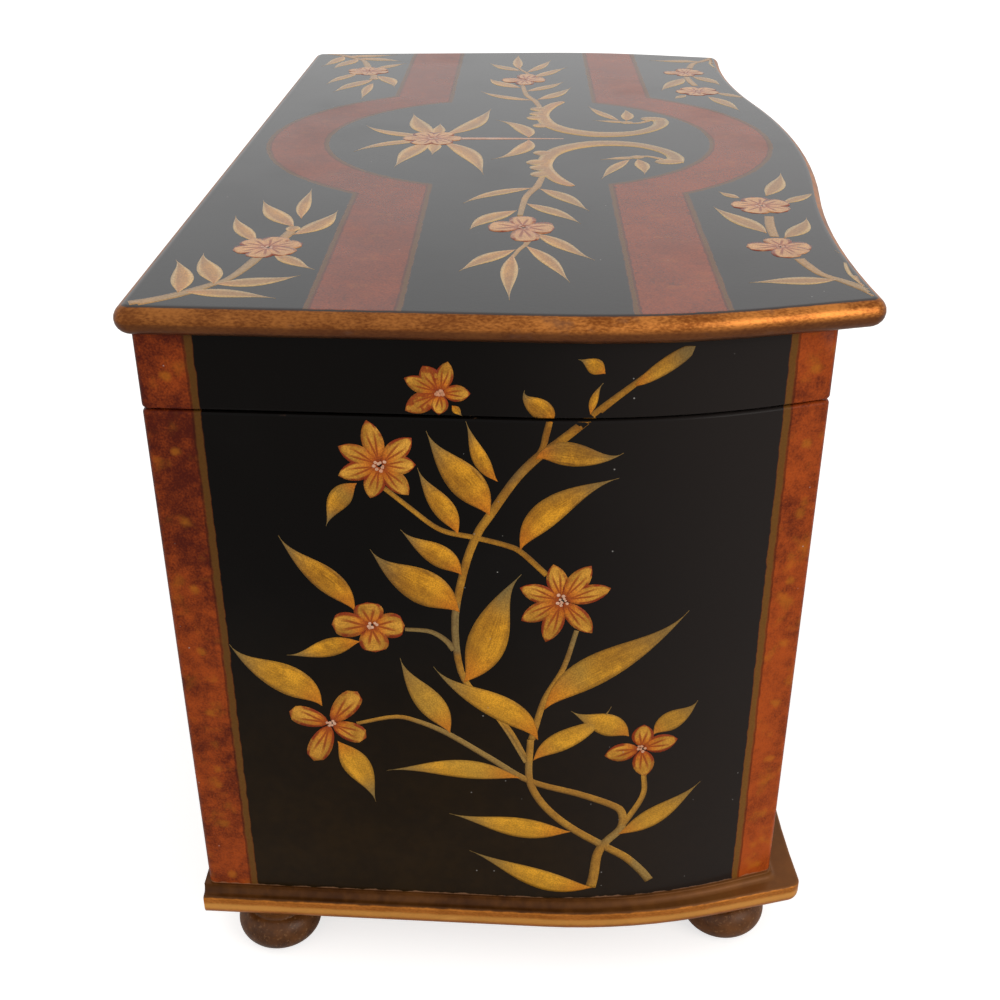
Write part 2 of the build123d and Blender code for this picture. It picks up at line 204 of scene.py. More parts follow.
def noise(tree, place, scale, detail=3.0, squeeze=(1, 1, 1), at=(0, 0, 0)):
    mapping = add(tree, "Mapping")
    mapping.inputs["Location"].default_value = at
    mapping.inputs["Scale"].default_value = [scale * amount for amount in squeeze]
    feed(tree, mapping.inputs["Vector"], place)
    texture = add(tree, "TexNoise")
    texture.inputs["Scale"].default_value = 1.0
    texture.inputs["Detail"].default_value = detail
    tree.links.new(mapping.outputs[0], texture.inputs["Vector"])
    return texture.outputs[0]


print("one node, one link and one sum can be added")


# %% Start a group or a material
def start_group(name, outputs, amounts=()):
    """A node group that is given a place, and maybe some amounts."""
    tree = bpy.data.node_groups.new(name, "ShaderNodeTree")
    tree.interface.new_socket("Vector", in_out="INPUT", socket_type="NodeSocketVector")
    for label in amounts:
        tree.interface.new_socket(label, in_out="INPUT", socket_type="NodeSocketFloat")
    for label in outputs:
        kind = "NodeSocketColor" if label == "Color" else "NodeSocketFloat"
        tree.interface.new_socket(label, in_out="OUTPUT", socket_type=kind)
    return tree, tree.nodes.new("NodeGroupInput").outputs, tree.nodes.new("NodeGroupOutput").inputs


def use_group(tree, group, **values):
    node = tree.nodes.new("ShaderNodeGroup")
    node.node_tree = group
    for name, value in values.items():
        feed(tree, node.inputs[name.replace("_", " ")], value)
    return node.outputs


def start_material(name, **constants):
    material = bpy.data.materials.new(name)
    material.use_nodes = True
    tree = material.node_tree
    shader = tree.nodes["Principled BSDF"]
    for socket, value in constants.items():
        shader.inputs[socket.replace("_", " ")].default_value = value
    place = add(tree, "TexCoord").outputs["Object"]
    return material, tree, shader.inputs, place


def bump(tree, height, distance, strength):
    node = add(tree, "Bump")
    node.inputs["Strength"].default_value = strength
    node.inputs["Distance"].default_value = distance
    feed(tree, node.inputs["Height"], height)
    return node.outputs[0]


print("groups and materials can be started")


# %% [markdown]
# ## Floor and light
# The floor is plain and pale. Its colour for the camera is lifted to white by a little emission that
# only camera rays see, so the chest itself is lit at a plain level. An even pale sky gives the glossy lid
# its grey sheen, and one panel at the front warms the painted end and lights up the gilding.

# %% Lay the floor
WHITE = (1, 1, 1, 1)
FLOOR_COLOR = (0.72, 0.70, 0.68, 1)
FLOOR_LIFT = 0.66


def lay_floor():
    bpy.ops.object.select_all(action="DESELECT")
    bpy.ops.mesh.primitive_plane_add(size=12)
    floor = bpy.context.object
    floor.name = "floor"
    material, tree, surface = start_material(
        "pale_floor", Base_Color=FLOOR_COLOR, Roughness=0.9, Specular_IOR_Level=0.0, Emission_Color=WHITE
    )[:3]
    seen = add(tree, "LightPath").outputs["Is Camera Ray"]
    feed(tree, surface["Emission Strength"], times(tree, seen, FLOOR_LIFT))
    floor.data.materials.append(material)


lay_floor()
print("laid the floor")


# %% Hang the light
SKY_STRENGTH = 0.78


def light_world(strength):
    world = bpy.data.worlds.new("pale_room")
    bpy.context.scene.world = world
    world.use_nodes = True
    tree = world.node_tree
    background = tree.nodes["Background"]
    background.inputs["Color"].default_value = WHITE
    seen = add(tree, "LightPath").outputs["Is Camera Ray"]
    feed(tree, background.inputs["Strength"], step(tree, seen, 0.0, 1.0, strength, 1.0))


def hang_panel(name, spot, target, width, height, radiance, color):
    bpy.ops.object.light_add(type="AREA", location=spot)
    panel = bpy.context.object
    panel.name = name
    panel.rotation_euler = (Vector(target) - Vector(spot)).to_track_quat("-Z", "Y").to_euler()
    panel.data.shape = "RECTANGLE"
    panel.data.size = width
    panel.data.size_y = height
    panel.data.energy = radiance * math.pi * width * height
    panel.data.color = color


light_world(SKY_STRENGTH)
hang_panel(
    "near_panel",
    spot=(-1.0, -0.95, 0.75),
    target=(-0.2, 0, 0.15),
    width=0.8,
    height=0.7,
    radiance=2.6,
    color=(1.0, 0.97, 0.92),
)
bpy.context.scene.view_settings.view_transform = "Standard"


# %% [markdown]
# ## Effects that several finishes share
# Old paint is never even: its colour drifts, and dust settles on it. Each of these effects is one node
# group, built once and placed in every material that needs it.

# %% Build the group for uneven paint
def make_uneven_paint():
    tree, given, result = start_group("uneven_paint", ("Cloud", "Grain"))
    broad = noise(tree, given["Vector"], 55, 4)
    patches = noise(tree, given["Vector"], 260, 3, at=(3, 1, 2))
    both = plus(tree, times(tree, broad, 0.6), times(tree, patches, 0.4))
    feed(tree, result["Cloud"], step(tree, both, 0.32, 0.68))
    feed(tree, result["Grain"], noise(tree, given["Vector"], 1500, 2))
    return tree


uneven_paint = make_uneven_paint()
print("built", uneven_paint.name)


# %% Build the group for dust
def make_dust():
    tree, given, result = start_group("dust", ("Specks", "Film"))
    cells = add(tree, "TexVoronoi")
    cells.inputs["Scale"].default_value = 210
    feed(tree, cells.inputs["Vector"], given["Vector"])
    speck = step(tree, cells.outputs["Distance"], 0.07, 0.03)
    apart = add(tree, "SeparateColor")
    feed(tree, apart.inputs[0], cells.outputs["Color"])
    rare = step(tree, apart.outputs[0], 0.86, 0.9)
    feed(tree, result["Specks"], times(tree, speck, rare))
    feed(tree, result["Film"], step(tree, noise(tree, given["Vector"], 18, 5), 0.45, 0.75))
    return tree


dust = make_dust()
print("built", dust.name)


# %% [markdown]
# ## The painted bands
# Rust-red bands frame each face, with a thin olive-gold line along their inner edge and a row of small
# orange dabs down the middle. The group is told how deep a point lies inside a band, how far along it,
# and where its middle is, so that one group serves the straight bands and the ring on the lid. Its
# painted light level says how much lit orange shows through the shaded red and how bright the gold line
# is; each face's rule makes it higher toward the lamp at the front and toward the foot.

# %% Build the group for the painted bands
# A shaded and a lit copy of the band's red, mixed by the painted light level.
RED_SHADED = (0.075, 0.009, 0.004, 1)
RED_LIT = (0.43, 0.074, 0.010, 1)
BAND_OCHRE = (0.52, 0.17, 0.012, 1)
LINE_DARK = (0.055, 0.022, 0.004, 1)
LINE_GOLD = (0.27, 0.11, 0.02, 1)
BAND_EDGE = (0.035, 0.008, 0.003, 1)
STUD_PITCH = 25 * MM


def make_painted_band():
    amounts = ("Depth", "Along", "Middle", "Glow", "Wear")
    tree, given, result = start_group("painted_band", ("Color", "Cover", "Height"), amounts)
    place = given["Vector"]
    waver = scaled(tree, noise(tree, place, 200, 3), 1.2 * MM, -0.6 * MM)
    depth = plus(tree, given["Depth"], waver)
    cover = step(tree, depth, 0.0, 0.5 * MM)
    line_width = scaled(tree, given["Wear"], 1.2 * MM, 1.2 * MM)
    past_line = minus(tree, depth, line_width)
    line = times(tree, cover, step(tree, past_line, 0.5 * MM, -0.3 * MM))
    paint = use_group(tree, uneven_paint, Vector=place)
    # Painted light: the given light level, drifting a little at random, mixes the red from a shaded dark red
    # to a lit orange red.
    drift = scaled(tree, paint["Cloud"], 0.5, -0.25)
    painted_light = scaled(tree, drift, given["Wear"], given["Glow"])
    painted_light = plus(tree, painted_light, scaled(tree, paint["Grain"], 0.7, -0.35))
    red = mix(tree, step(tree, painted_light, 0.0, 1.0), RED_SHADED, RED_LIT)
    # Rubbed patches show ochre, more of it where the painted light level is higher.
    rubbed_and_lit = step(tree, noise(tree, place, 130, 6, at=(0, 4, 0)), 0.55, 0.8)
    rubbed_and_lit = times(tree, rubbed_and_lit, scaled(tree, given["Glow"], 0.5, 0.12))
    rubbed_and_lit = times(tree, rubbed_and_lit, given["Wear"])
    red = mix(tree, rubbed_and_lit, red, BAND_OCHRE)
    turn = calc(tree, "DIVIDE", given["Along"], STUD_PITCH)
    off = times(tree, minus(tree, calc(tree, "FRACT", turn), 0.5), STUD_PITCH)
    aside = minus(tree, given["Depth"], given["Middle"])
    spread = calc(tree, "SQRT", scaled(tree, off, off, times(tree, aside, aside)))
    uneven = scaled(tree, noise(tree, place, 320, 2), 3 * MM, -1.5 * MM)
    stud = step(tree, plus(tree, spread, uneven), 2.5 * MM, 0.4 * MM)
    red = mix(tree, times(tree, times(tree, stud, 0.42), given["Wear"]), red, BAND_OCHRE)
    beside_line = calc(tree, "ABSOLUTE", minus(tree, past_line, 0.4 * MM))
    red = mix(tree, step(tree, beside_line, 0.7 * MM, 0.2 * MM, 0.0, 0.6), red, BAND_EDGE)
    # Painted light: the gold line is brighter where the painted light level is higher.
    gold = times(tree, scaled(tree, paint["Grain"], 0.6, 0.5), given["Glow"])
    line_color = mix(tree, gold, LINE_DARK, LINE_GOLD)
    feed(tree, result["Color"], mix(tree, line, red, line_color))
    feed(tree, result["Cover"], cover)
    feed(tree, result["Height"], plus(tree, cover, times(tree, stud, 0.5)))
    return tree


painted_band = make_painted_band()
print("built", painted_band.name)


# %% [markdown]
# ## Black lacquer
# The ground is a deep black lacquer with a soft gloss. A painted reflection makes it a little browner
# toward the foot and greyer toward the front. It carries the bands, a few pale chips where the lid meets
# the case, which also stand as a painted highlight on the eased edges, and a little dust. Only its shine
# and the rule that says where the bands run differ from face to face, so both are handed in.

# %% Say where the bands run
BACK_BAND = 18 * MM
FRONT_BAND = 16 * MM
STUD_LINE = 9.5 * MM
FRONT_STUD_LINE = 9 * MM
LID_STUD_LINE = 13 * MM


# Painted light: each face's bands get more painted light toward the foot, the front face most and the back
# face least.
def painted_light_by_height(tree, z, at_top, at_foot):
    return step(tree, z, 235 * MM, 50 * MM, at_top, at_foot)


def bands_on_ends(tree, x, y, z):
    from_back = minus(tree, BACK_BAND, minus(tree, CASE_BACK, y))
    from_front = minus(tree, FRONT_BAND, minus(tree, y, CASE_FRONT))
    # Painted light: the end bands get lighter toward the front, where the lamp stands.
    toward_light = step(tree, y, 60 * MM, -70 * MM, 0.0, 0.24)
    painted_light = plus(tree, painted_light_by_height(tree, z, 0.28, 0.52), toward_light)
    return calc(tree, "MAXIMUM", from_back, from_front), z, STUD_LINE, painted_light, 1.0


def bands_on_front(tree, x, y, z):
    from_corner = minus(tree, CASE_HALF_FRONT, calc(tree, "ABSOLUTE", x))
    return minus(tree, FRONT_BAND, from_corner), z, FRONT_STUD_LINE, painted_light_by_height(tree, z, 0.5, 0.8), 1.0


def bands_on_back(tree, x, y, z):
    from_corner = minus(tree, CASE_HALF_BACK, calc(tree, "ABSOLUTE", x))
    return minus(tree, BACK_BAND, from_corner), z, STUD_LINE, painted_light_by_height(tree, z, 0.12, 0.52), 1.0


RING_MIDDLE = Vector((2, 1)) * MM
RING_INNER, RING_OUTER = 80.5 * MM, 107 * MM
STRIP_INNER, STRIP_OUTER = 33.1 * MM, 62.2 * MM


def bands_on_lid(tree, x, y, z):
    ring_x = minus(tree, x, RING_MIDDLE.x)
    ring_y = minus(tree, y, RING_MIDDLE.y)
    far = calc(tree, "SQRT", scaled(tree, ring_x, ring_x, times(tree, ring_y, ring_y)))
    aside = calc(tree, "ABSOLUTE", y)
    outer = calc(tree, "MINIMUM", minus(tree, aside, STRIP_OUTER), minus(tree, far, RING_OUTER))
    inner = calc(tree, "MINIMUM", minus(tree, aside, STRIP_INNER), minus(tree, far, RING_INNER))
    depth = calc(tree, "MINIMUM", inner, times(tree, outer, -1.0))
    around = times(tree, calc(tree, "ARCTAN2", ring_y, ring_x), (RING_INNER + RING_OUTER) / 2)
    in_ring = calc(tree, "LESS_THAN", far, RING_OUTER)
    along = scaled(tree, minus(tree, around, x), in_ring, x)
    # Painted light: the lid's bands get a little lighter toward the front.
    return depth, along, LID_STUD_LINE, step(tree, y, 110 * MM, -110 * MM, 0.42, 0.52), 0.3


print("band rules for the ends, front, back and lid are ready")

# %% Mix the black lacquer
LACQUER_BLACK = (0.0030, 0.0022, 0.0018, 1)
# Painted reflection colours: brown toward the foot and grey toward the front.
LACQUER_PAINTED_REFLECTION_BROWN = (0.022, 0.0115, 0.0032, 1)
LACQUER_PAINTED_REFLECTION_GREY = (0.021, 0.0165, 0.0150, 1)
RUBBED_WOOD = (0.34, 0.17, 0.09, 1)
DUST_GREY = (0.40, 0.38, 0.36, 1)


def lacquer(name, band_rule, shine):
    material, tree, surface, place = start_material(name, Specular_IOR_Level=shine)
    x, y, z = axes_of(tree, place)
    depth, along, middle, painted_light, wear = band_rule(tree, x, y, z)
    band = use_group(
        tree, painted_band, Vector=place, Depth=depth, Along=along, Middle=middle, Glow=painted_light, Wear=wear
    )
    paint = use_group(tree, uneven_paint, Vector=place)
    specks = use_group(tree, dust, Vector=place)
    # Painted reflection: the lacquer turns browner toward the foot, with a little random drift, and greyer
    # toward the front.
    brown = times(tree, step(tree, z, 170 * MM, 40 * MM), scaled(tree, paint["Cloud"], 0.4, 0.6))
    color = mix(tree, brown, LACQUER_BLACK, LACQUER_PAINTED_REFLECTION_BROWN)
    color = mix(tree, step(tree, y, 30 * MM, -90 * MM, 0.0, 0.85), color, LACQUER_PAINTED_REFLECTION_GREY)
    color = mix(tree, band["Cover"], color, band["Color"])
    # Pale chips along the seam: worn wood, which also stands for light caught on the eased edges as a
    # painted highlight.
    near_seam = calc(tree, "ABSOLUTE", minus(tree, z, SEAM))
    chips = step(tree, noise(tree, place, 150, 6, at=(7, 2, 0)), 0.66, 0.74, 0.0, 0.5)
    rubbed_and_lit = times(tree, step(tree, near_seam, 1.0 * MM, 0.6 * MM), chips)
    ragged = scaled(tree, noise(tree, place, 260, 4), 2.4 * MM, CASE_FOOT - 1.2 * MM)
    scuffed = times(tree, step(tree, minus(tree, z, ragged), 0.5 * MM, 0.1 * MM), 0.6)
    color = mix(tree, calc(tree, "MAXIMUM", rubbed_and_lit, scuffed), color, RUBBED_WOOD)
    dusty = scaled(tree, specks["Film"], 0.004, times(tree, specks["Specks"], 0.7))
    color = mix(tree, dusty, color, DUST_GREY)
    feed(tree, surface["Base Color"], color)
    rough = scaled(tree, specks["Film"], 0.06, 0.17)
    rough = scaled(tree, band["Cover"], 0.10, rough)
    feed(tree, surface["Roughness"], rough)
    height = scaled(tree, paint["Grain"], 0.10, band["Height"])
    feed(tree, surface["Normal"], bump(tree, height, 0.04 * MM, 0.5))
    return material, tree, surface, place, color, rough


end_lacquer = lacquer("end_lacquer", bands_on_ends, 0.08)[0]
front_lacquer = lacquer("front_lacquer", bands_on_front, 0.2)[0]
back_lacquer = lacquer("back_lacquer", bands_on_back, 0.2)[0]
print("mixed three black lacquers")


# %% [markdown]
# ## Gilding
# The rounded edges of the lid and the plinth are gilt in copper leaf over a brown ground. The leaf is
# mottled in fine grains that run a little along the edge, and worn down to the brown in places.

# %% Build the group for gilding
COPPER_DARK = (0.24, 0.066, 0.011, 1)
COPPER_BRIGHT = (0.66, 0.235, 0.048, 1)
COPPER_WORN = (0.11, 0.040, 0.014, 1)


def make_gilding():
    tree, given, result = start_group("gilding", ("Color", "Roughness", "Metal", "Height"))
    place = given["Vector"]
    patches = noise(tree, place, 70, 4, squeeze=(1, 1, 2.5))
    grains = noise(tree, place, 1500, 3, squeeze=(1, 0.5, 1.2), at=(1, 1, 4))
    both = plus(tree, times(tree, patches, 0.5), times(tree, grains, 0.5))
    bright = step(tree, both, 0.34, 0.66)
    color = mix(tree, bright, COPPER_DARK, COPPER_BRIGHT)
    worn = step(tree, noise(tree, place, 100, 6, squeeze=(1, 1, 2), at=(2, 8, 0)), 0.60, 0.76)
    color = mix(tree, times(tree, worn, 0.6), color, COPPER_WORN)
    feed(tree, result["Color"], color)
    feed(tree, result["Roughness"], scaled(tree, grains, 0.3, 0.2))
    feed(tree, result["Metal"], scaled(tree, worn, -0.5, 0.9))
    feed(tree, result["Height"], both)
    return tree


gilding = make_gilding()
print("built", gilding.name)


# %% Lay gilding over the lid's lacquer
EDGE_LINE = (0.02, 0.007, 0.003, 1)
COPPER_SHADE = (0.10, 0.035, 0.015, 1)


def make_lid_finish():
    material, tree, surface, place, color, rough = lacquer("lid_finish", bands_on_lid, 0.5)
    y, z = axes_of(tree, place)[1:]
    leaf = use_group(tree, gilding, Vector=place)
    ragged = scaled(tree, noise(tree, place, 240, 4), 0.16 * MM, -0.08 * MM)
    level = plus(tree, z, ragged)
    bare = step(tree, level, LID_TOP - 0.02 * MM, LID_TOP - 0.07 * MM)
    above = times(tree, bare, step(tree, z, LID_UNDERSIDE + 0.05 * MM, LID_UNDERSIDE + 0.3 * MM))
    color = mix(tree, above, color, EDGE_LINE)
    cover = times(tree, above, step(tree, level, LID_TOP - 0.18 * MM, LID_TOP - 0.4 * MM))
    low = step(tree, level, LID_UNDERSIDE + 5.6 * MM, LID_UNDERSIDE + 3.6 * MM, 0.0, 0.82)
    back = step(tree, y, -40 * MM, 50 * MM, 0.0, 0.42)
    copper = mix(tree, calc(tree, "MAXIMUM", low, back), leaf["Color"], COPPER_SHADE)
    feed(tree, surface["Base Color"], mix(tree, cover, color, copper))
    feed(tree, surface["Metallic"], times(tree, leaf["Metal"], cover))
    feed(tree, surface["Roughness"], step(tree, cover, 0.0, 1.0, rough, leaf["Roughness"]))
    feed(tree, surface["Normal"], bump(tree, leaf["Height"], 0.12 * MM, 0.35))
    return material


lid_finish = make_lid_finish()
print("mixed", lid_finish.name)


# %% Mix the plinth's finish
PLINTH_DARK = (0.055, 0.017, 0.003, 1)
PLINTH_BROWN = (0.13, 0.045, 0.008, 1)
PLINTH_LIT = (0.36, 0.135, 0.035, 1)
PLINTH_COPPER = (0.64, 0.22, 0.030, 1)
PLINTH_SHADE = (0.26, 0.085, 0.012, 1)
PLINTH_PAINTED_HIGHLIGHT = (1.0, 0.50, 0.12, 1)
PLINTH_FOOT = 20.4
PLINTH_NOSE = 9.4
SHOULDER = (PLINTH_FOOT + PLINTH_NOSE) * MM


def make_plinth_finish():
    material, tree, surface, place = start_material("plinth_finish", Specular_IOR_Level=0.15)
    y, z = axes_of(tree, place)[1:]
    paint = use_group(tree, uneven_paint, Vector=place)
    leaf = use_group(tree, gilding, Vector=place)
    brown = mix(tree, paint["Cloud"], PLINTH_DARK, PLINTH_BROWN)
    brown = mix(tree, step(tree, y, 0.0, -90 * MM, 0.0, 0.35), brown, PLINTH_LIT)
    ragged = scaled(tree, noise(tree, place, 200, 4), 0.8 * MM, -0.4 * MM)
    level = plus(tree, z, ragged)
    nose = step(tree, level, SHOULDER - 0.2 * MM, SHOULDER - 0.8 * MM)
    # Painted highlight: a bright line across the middle of the nose.
    line = calc(
        tree, "MULTIPLY",
        step(tree, level, SHOULDER - 6.4 * MM, SHOULDER - 4.6 * MM),
        step(tree, level, SHOULDER - 2.2 * MM, SHOULDER - 3.8 * MM),
    )
    copper = mix(tree, 0.5, leaf["Color"], PLINTH_COPPER)
    low = step(tree, level, SHOULDER - 6.4 * MM, SHOULDER - 8.8 * MM, 0.0, 0.6)
    copper = mix(tree, low, copper, PLINTH_SHADE)
    color = mix(tree, nose, brown, copper)
    color = mix(tree, times(tree, line, 0.65), color, PLINTH_PAINTED_HIGHLIGHT)
    feed(tree, surface["Base Color"], color)
    feed(tree, surface["Metallic"], step(tree, nose, 0.0, 1.0, 0.15, leaf["Metal"]))
    feed(tree, surface["Roughness"], step(tree, nose, 0.0, 1.0, 0.36, leaf["Roughness"]))
    feed(tree, surface["Normal"], bump(tree, leaf["Height"], 0.12 * MM, 0.4))
    return material


plinth_finish = make_plinth_finish()
print("mixed", plinth_finish.name)


# %% [markdown]
# ## Dressing the wooden boards
# The CAD boards have the right shape, but their triangles are loose, so light breaks at every facet.
# Each board is copied, its corners are merged, and its shading is smoothed everywhere except at real
# edges. The copy then stands in for the board and moves with the same body.

# %% Dress a board
def dress(node, body, material, angle=32):
    piece = bpy.data.objects.new("dressed_" + node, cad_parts[node].data.copy())
    bpy.context.scene.collection.objects.link(piece)
    edit_all_of(piece, bpy.ops.mesh.remove_doubles, threshold=0.01 * MM)
    bpy.ops.object.shade_smooth_by_angle(angle=math.radians(angle))
    piece.modifiers.new("even", "WEIGHTED_NORMAL").keep_sharp = True
    apply_modifiers(piece)
    piece.data.materials.clear()
    piece.data.materials.append(material)
    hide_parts(node)
    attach(piece, body)
    return piece


BOARDS = {}
for side, material in (("left", end_lacquer), ("right", end_lacquer)):
    BOARDS[side + "_end"] = dress(side + "_end_board", "case", material)
    BOARDS[side + "_rim"] = dress("lid_rim_" + side, "lid", material)
for side, material in (("front", front_lacquer), ("back", back_lacquer)):
    BOARDS[side + "_case"] = dress(side + "_board", "case", material)
    BOARDS[side + "_rim"] = dress("lid_rim_" + side, "lid", material)
BOARDS["lid_top"] = dress("lid_top_board", "lid", lid_finish)
BOARDS["plinth"] = dress("plinth_board", "case", plinth_finish)
print("dressed", len(BOARDS), "boards")


# %% [markdown]
# ## Paints for the flowers
# The leaves are ochre-gold, orange at the stalk and grey-green at the tip. The petals are edged and veined
# in rust red, round a cluster of pale pink dots. A stroke's own UV map runs along it and across it, so
# outlines and veins follow each stroke however it bends.

# %% Start a paint and finish it
GROUND_UNDER_PAINT = (0.07, 0.026, 0.004, 1)


def start_paint(name, shine):
    gloss = {"Roughness": 0.5 - 0.5 * shine, "Specular_IOR_Level": shine}
    material, tree, surface, place = start_material(name, **gloss)
    own_map = add(tree, "UVMap", uv_map="UVMap").outputs[0]
    along, across = axes_of(tree, own_map)[:2]
    aside = calc(tree, "ABSOLUTE", scaled(tree, across, 2.0, -1.0))
    paint = use_group(tree, uneven_paint, Vector=place)
    stroke = {"map": own_map, "along": along, "across": across, "aside": aside}
    return material, tree, surface, place, paint, stroke


def finish_paint(tree, surface, place, color):
    specks = use_group(tree, dust, Vector=place)
    grain = noise(tree, place, 2300, 3, at=(2, 2, 2))
    dark = mix(tree, step(tree, grain, 0.60, 0.40, 0.0, 0.34), color, GROUND_UNDER_PAINT)
    feed(tree, surface["Base Color"], mix(tree, times(tree, specks["Specks"], 0.4), dark, DUST_GREY))
    feed(tree, surface["Normal"], bump(tree, grain, 0.03 * MM, 0.5))


def toward_front(tree, place):
    return step(tree, axes_of(tree, place)[1], 0.0, -85 * MM, 0.0, 0.6)


def toward_foot(tree, place):
    return step(tree, axes_of(tree, place)[2], 175 * MM, 95 * MM, 0.0, 0.33)


print("a paint knows where it lies along and across its stroke")


# %% Mix the leaf paint
LEAF_DARK = (0.30, 0.115, 0.006, 1)
LEAF_BRIGHT = (0.86, 0.38, 0.020, 1)
LEAF_FOLD = (0.30, 0.115, 0.009, 1)
LEAF_OLIVE = (0.26, 0.18, 0.045, 1)
LEAF_LIT = (1.0, 0.52, 0.040, 1)
LEAF_STALK = (0.64, 0.17, 0.008, 1)
LEAF_TIP = (0.15, 0.125, 0.055, 1)
LEAF_SHADE = (0.26, 0.14, 0.030, 1)
LEAF_OUTLINE = (0.16, 0.075, 0.010, 1)
# Painted sheen: pale colours that stand for the gloss reflecting off the lid's painting.
LEAF_PAINTED_SHEEN = (0.54, 0.28, 0.12, 1)
LEAF_EDGE_PAINTED_SHEEN = (0.98, 0.68, 0.32, 1)


def make_leaf_paint(name, shine, painted_sheen):
    material, tree, surface, place, paint, stroke = start_paint(name + "_leaf", shine)
    brushed = noise(tree, stroke["map"], 3, 4, squeeze=(1, 5, 1))
    full = scaled(tree, brushed, 0.9, scaled(tree, paint["Cloud"], 0.5, -0.15))
    color = mix(tree, step(tree, full, 0.15, 0.75), LEAF_DARK, LEAF_BRIGHT)
    folded = step(tree, scaled(tree, brushed, 0.5, stroke["across"]), 0.68, 0.92, 0.0, 0.6)
    color = mix(tree, folded, color, LEAF_FOLD)
    olive = step(tree, noise(tree, place, 28, 2, at=(0, 5, 2)), 0.50, 0.64, 0.0, 0.55)
    color = mix(tree, olive, color, LEAF_OLIVE)
    color = mix(tree, toward_foot(tree, place), color, LEAF_LIT)
    color = mix(tree, step(tree, stroke["along"], 0.36, 0.0, 0.0, 0.75), color, LEAF_STALK)
    color = mix(tree, step(tree, stroke["along"], 0.50, 0.95, 0.0, 0.8), color, LEAF_TIP)
    color = mix(tree, toward_front(tree, place), color, LEAF_SHADE)
    color = mix(tree, step(tree, stroke["aside"], 0.7, 1.0, 0.0, 0.5), color, LEAF_OUTLINE)
    # Painted sheen on the lid's leaves, paler toward their edges.
    if painted_sheen:
        painted_sheen_color = mix(tree, step(tree, stroke["aside"], 0.35, 0.9), LEAF_PAINTED_SHEEN, LEAF_EDGE_PAINTED_SHEEN)
        color = mix(tree, painted_sheen, color, painted_sheen_color)
    finish_paint(tree, surface, place, color)
    return material


print("the leaf paint is ready to mix")


# %% Mix the petal paint
PETAL_DARK = (0.44, 0.18, 0.016, 1)
PETAL_BRIGHT = (0.84, 0.40, 0.050, 1)
PETAL_FOLD = (0.34, 0.15, 0.014, 1)
PETAL_ROOT = (0.68, 0.15, 0.008, 1)
PETAL_PAINTED_SHEEN = (0.84, 0.44, 0.22, 1)
RUST = (0.30, 0.036, 0.005, 1)


def make_petal_paint(name, shine, painted_sheen, red_fill=0.0):
    kind = "_red_petal" if red_fill else "_petal"
    material, tree, surface, place, paint, stroke = start_paint(name + kind, shine)
    along, aside = stroke["along"], stroke["aside"]
    color = mix(tree, paint["Cloud"], PETAL_DARK, PETAL_BRIGHT)
    color = mix(tree, step(tree, stroke["across"], 0.55, 0.85, 0.0, 0.45), color, PETAL_FOLD)
    color = mix(tree, step(tree, along, 0.60, 0.15, 0.0, 0.75), color, PETAL_ROOT)
    # Painted sheen on the lid's petals.
    if painted_sheen:
        color = mix(tree, painted_sheen, color, PETAL_PAINTED_SHEEN)
    if red_fill:
        filled = step(tree, noise(tree, place, 420, 3, at=(6, 0, 0)), 0.40, 0.52, red_fill, 0.2 * red_fill)
        color = mix(tree, filled, color, RUST)
    edge = calc(tree, "MAXIMUM", step(tree, aside, 0.62, 0.82), step(tree, along, 0.88, 0.97))
    bent = calc(tree, "ABSOLUTE", minus(tree, aside, times(tree, along, 0.55)))
    vein = times(tree, step(tree, bent, 0.16, 0.05), step(tree, along, 0.85, 0.5, 0.0, 0.8))
    broken = step(tree, noise(tree, place, 200, 3), 0.36, 0.56, 0.25, 1.0)
    red = calc(tree, "MAXIMUM", times(tree, edge, broken), vein)
    red = calc(tree, "MAXIMUM", red, step(tree, along, 0.28, 0.05, 0.0, 0.85))
    finish_paint(tree, surface, place, mix(tree, red, color, RUST))
    return material


print("the petal paints are ready to mix")


# %% Mix the stem and dot paints, and then both sets
STEM_DARK = (0.28, 0.105, 0.009, 1)
STEM_BRIGHT = (0.56, 0.26, 0.022, 1)
STEM_GREEN = (0.17, 0.15, 0.070, 1)
STEM_LIT = (0.62, 0.33, 0.060, 1)
STEM_EDGE = (0.10, 0.050, 0.012, 1)
STEM_PAINTED_SHEEN = (0.60, 0.35, 0.15, 1)
DOT_DARK = (0.62, 0.26, 0.13, 1)
DOT_BRIGHT = (0.84, 0.52, 0.36, 1)


def make_stem_paint(name, shine, painted_sheen):
    material, tree, surface, place, paint, stroke = start_paint(name + "_stem", shine)
    color = mix(tree, paint["Cloud"], STEM_DARK, STEM_BRIGHT)
    green = step(tree, noise(tree, place, 30, 2, at=(1, 0, 3)), 0.50, 0.60, 0.0, 0.75)
    color = mix(tree, green, color, STEM_GREEN)
    color = mix(tree, toward_foot(tree, place), color, STEM_LIT)
    color = mix(tree, step(tree, stroke["across"], 0.5, 1.0, 0.0, 0.6), color, STEM_EDGE)
    # Painted sheen on the lid's stems.
    if painted_sheen:
        color = mix(tree, painted_sheen, color, STEM_PAINTED_SHEEN)
    finish_paint(tree, surface, place, color)
    return material


def make_dot_paint(name, shine):
    material, tree, surface, place, paint = start_paint(name + "_dot", shine)[:5]
    finish_paint(tree, surface, place, mix(tree, paint["Cloud"], DOT_DARK, DOT_BRIGHT))
    return material


def make_paints(name, shine, painted_sheen):
    return {
        "leaf": make_leaf_paint(name, shine, painted_sheen),
        "petal": make_petal_paint(name, shine, painted_sheen),
        "red_petal": make_petal_paint(name, shine, painted_sheen, 0.85),
        "stem": make_stem_paint(name, shine, painted_sheen),
        "dot": make_dot_paint(name, shine),
    }


PAINTS = make_paints("side", 0.15, 0.0)
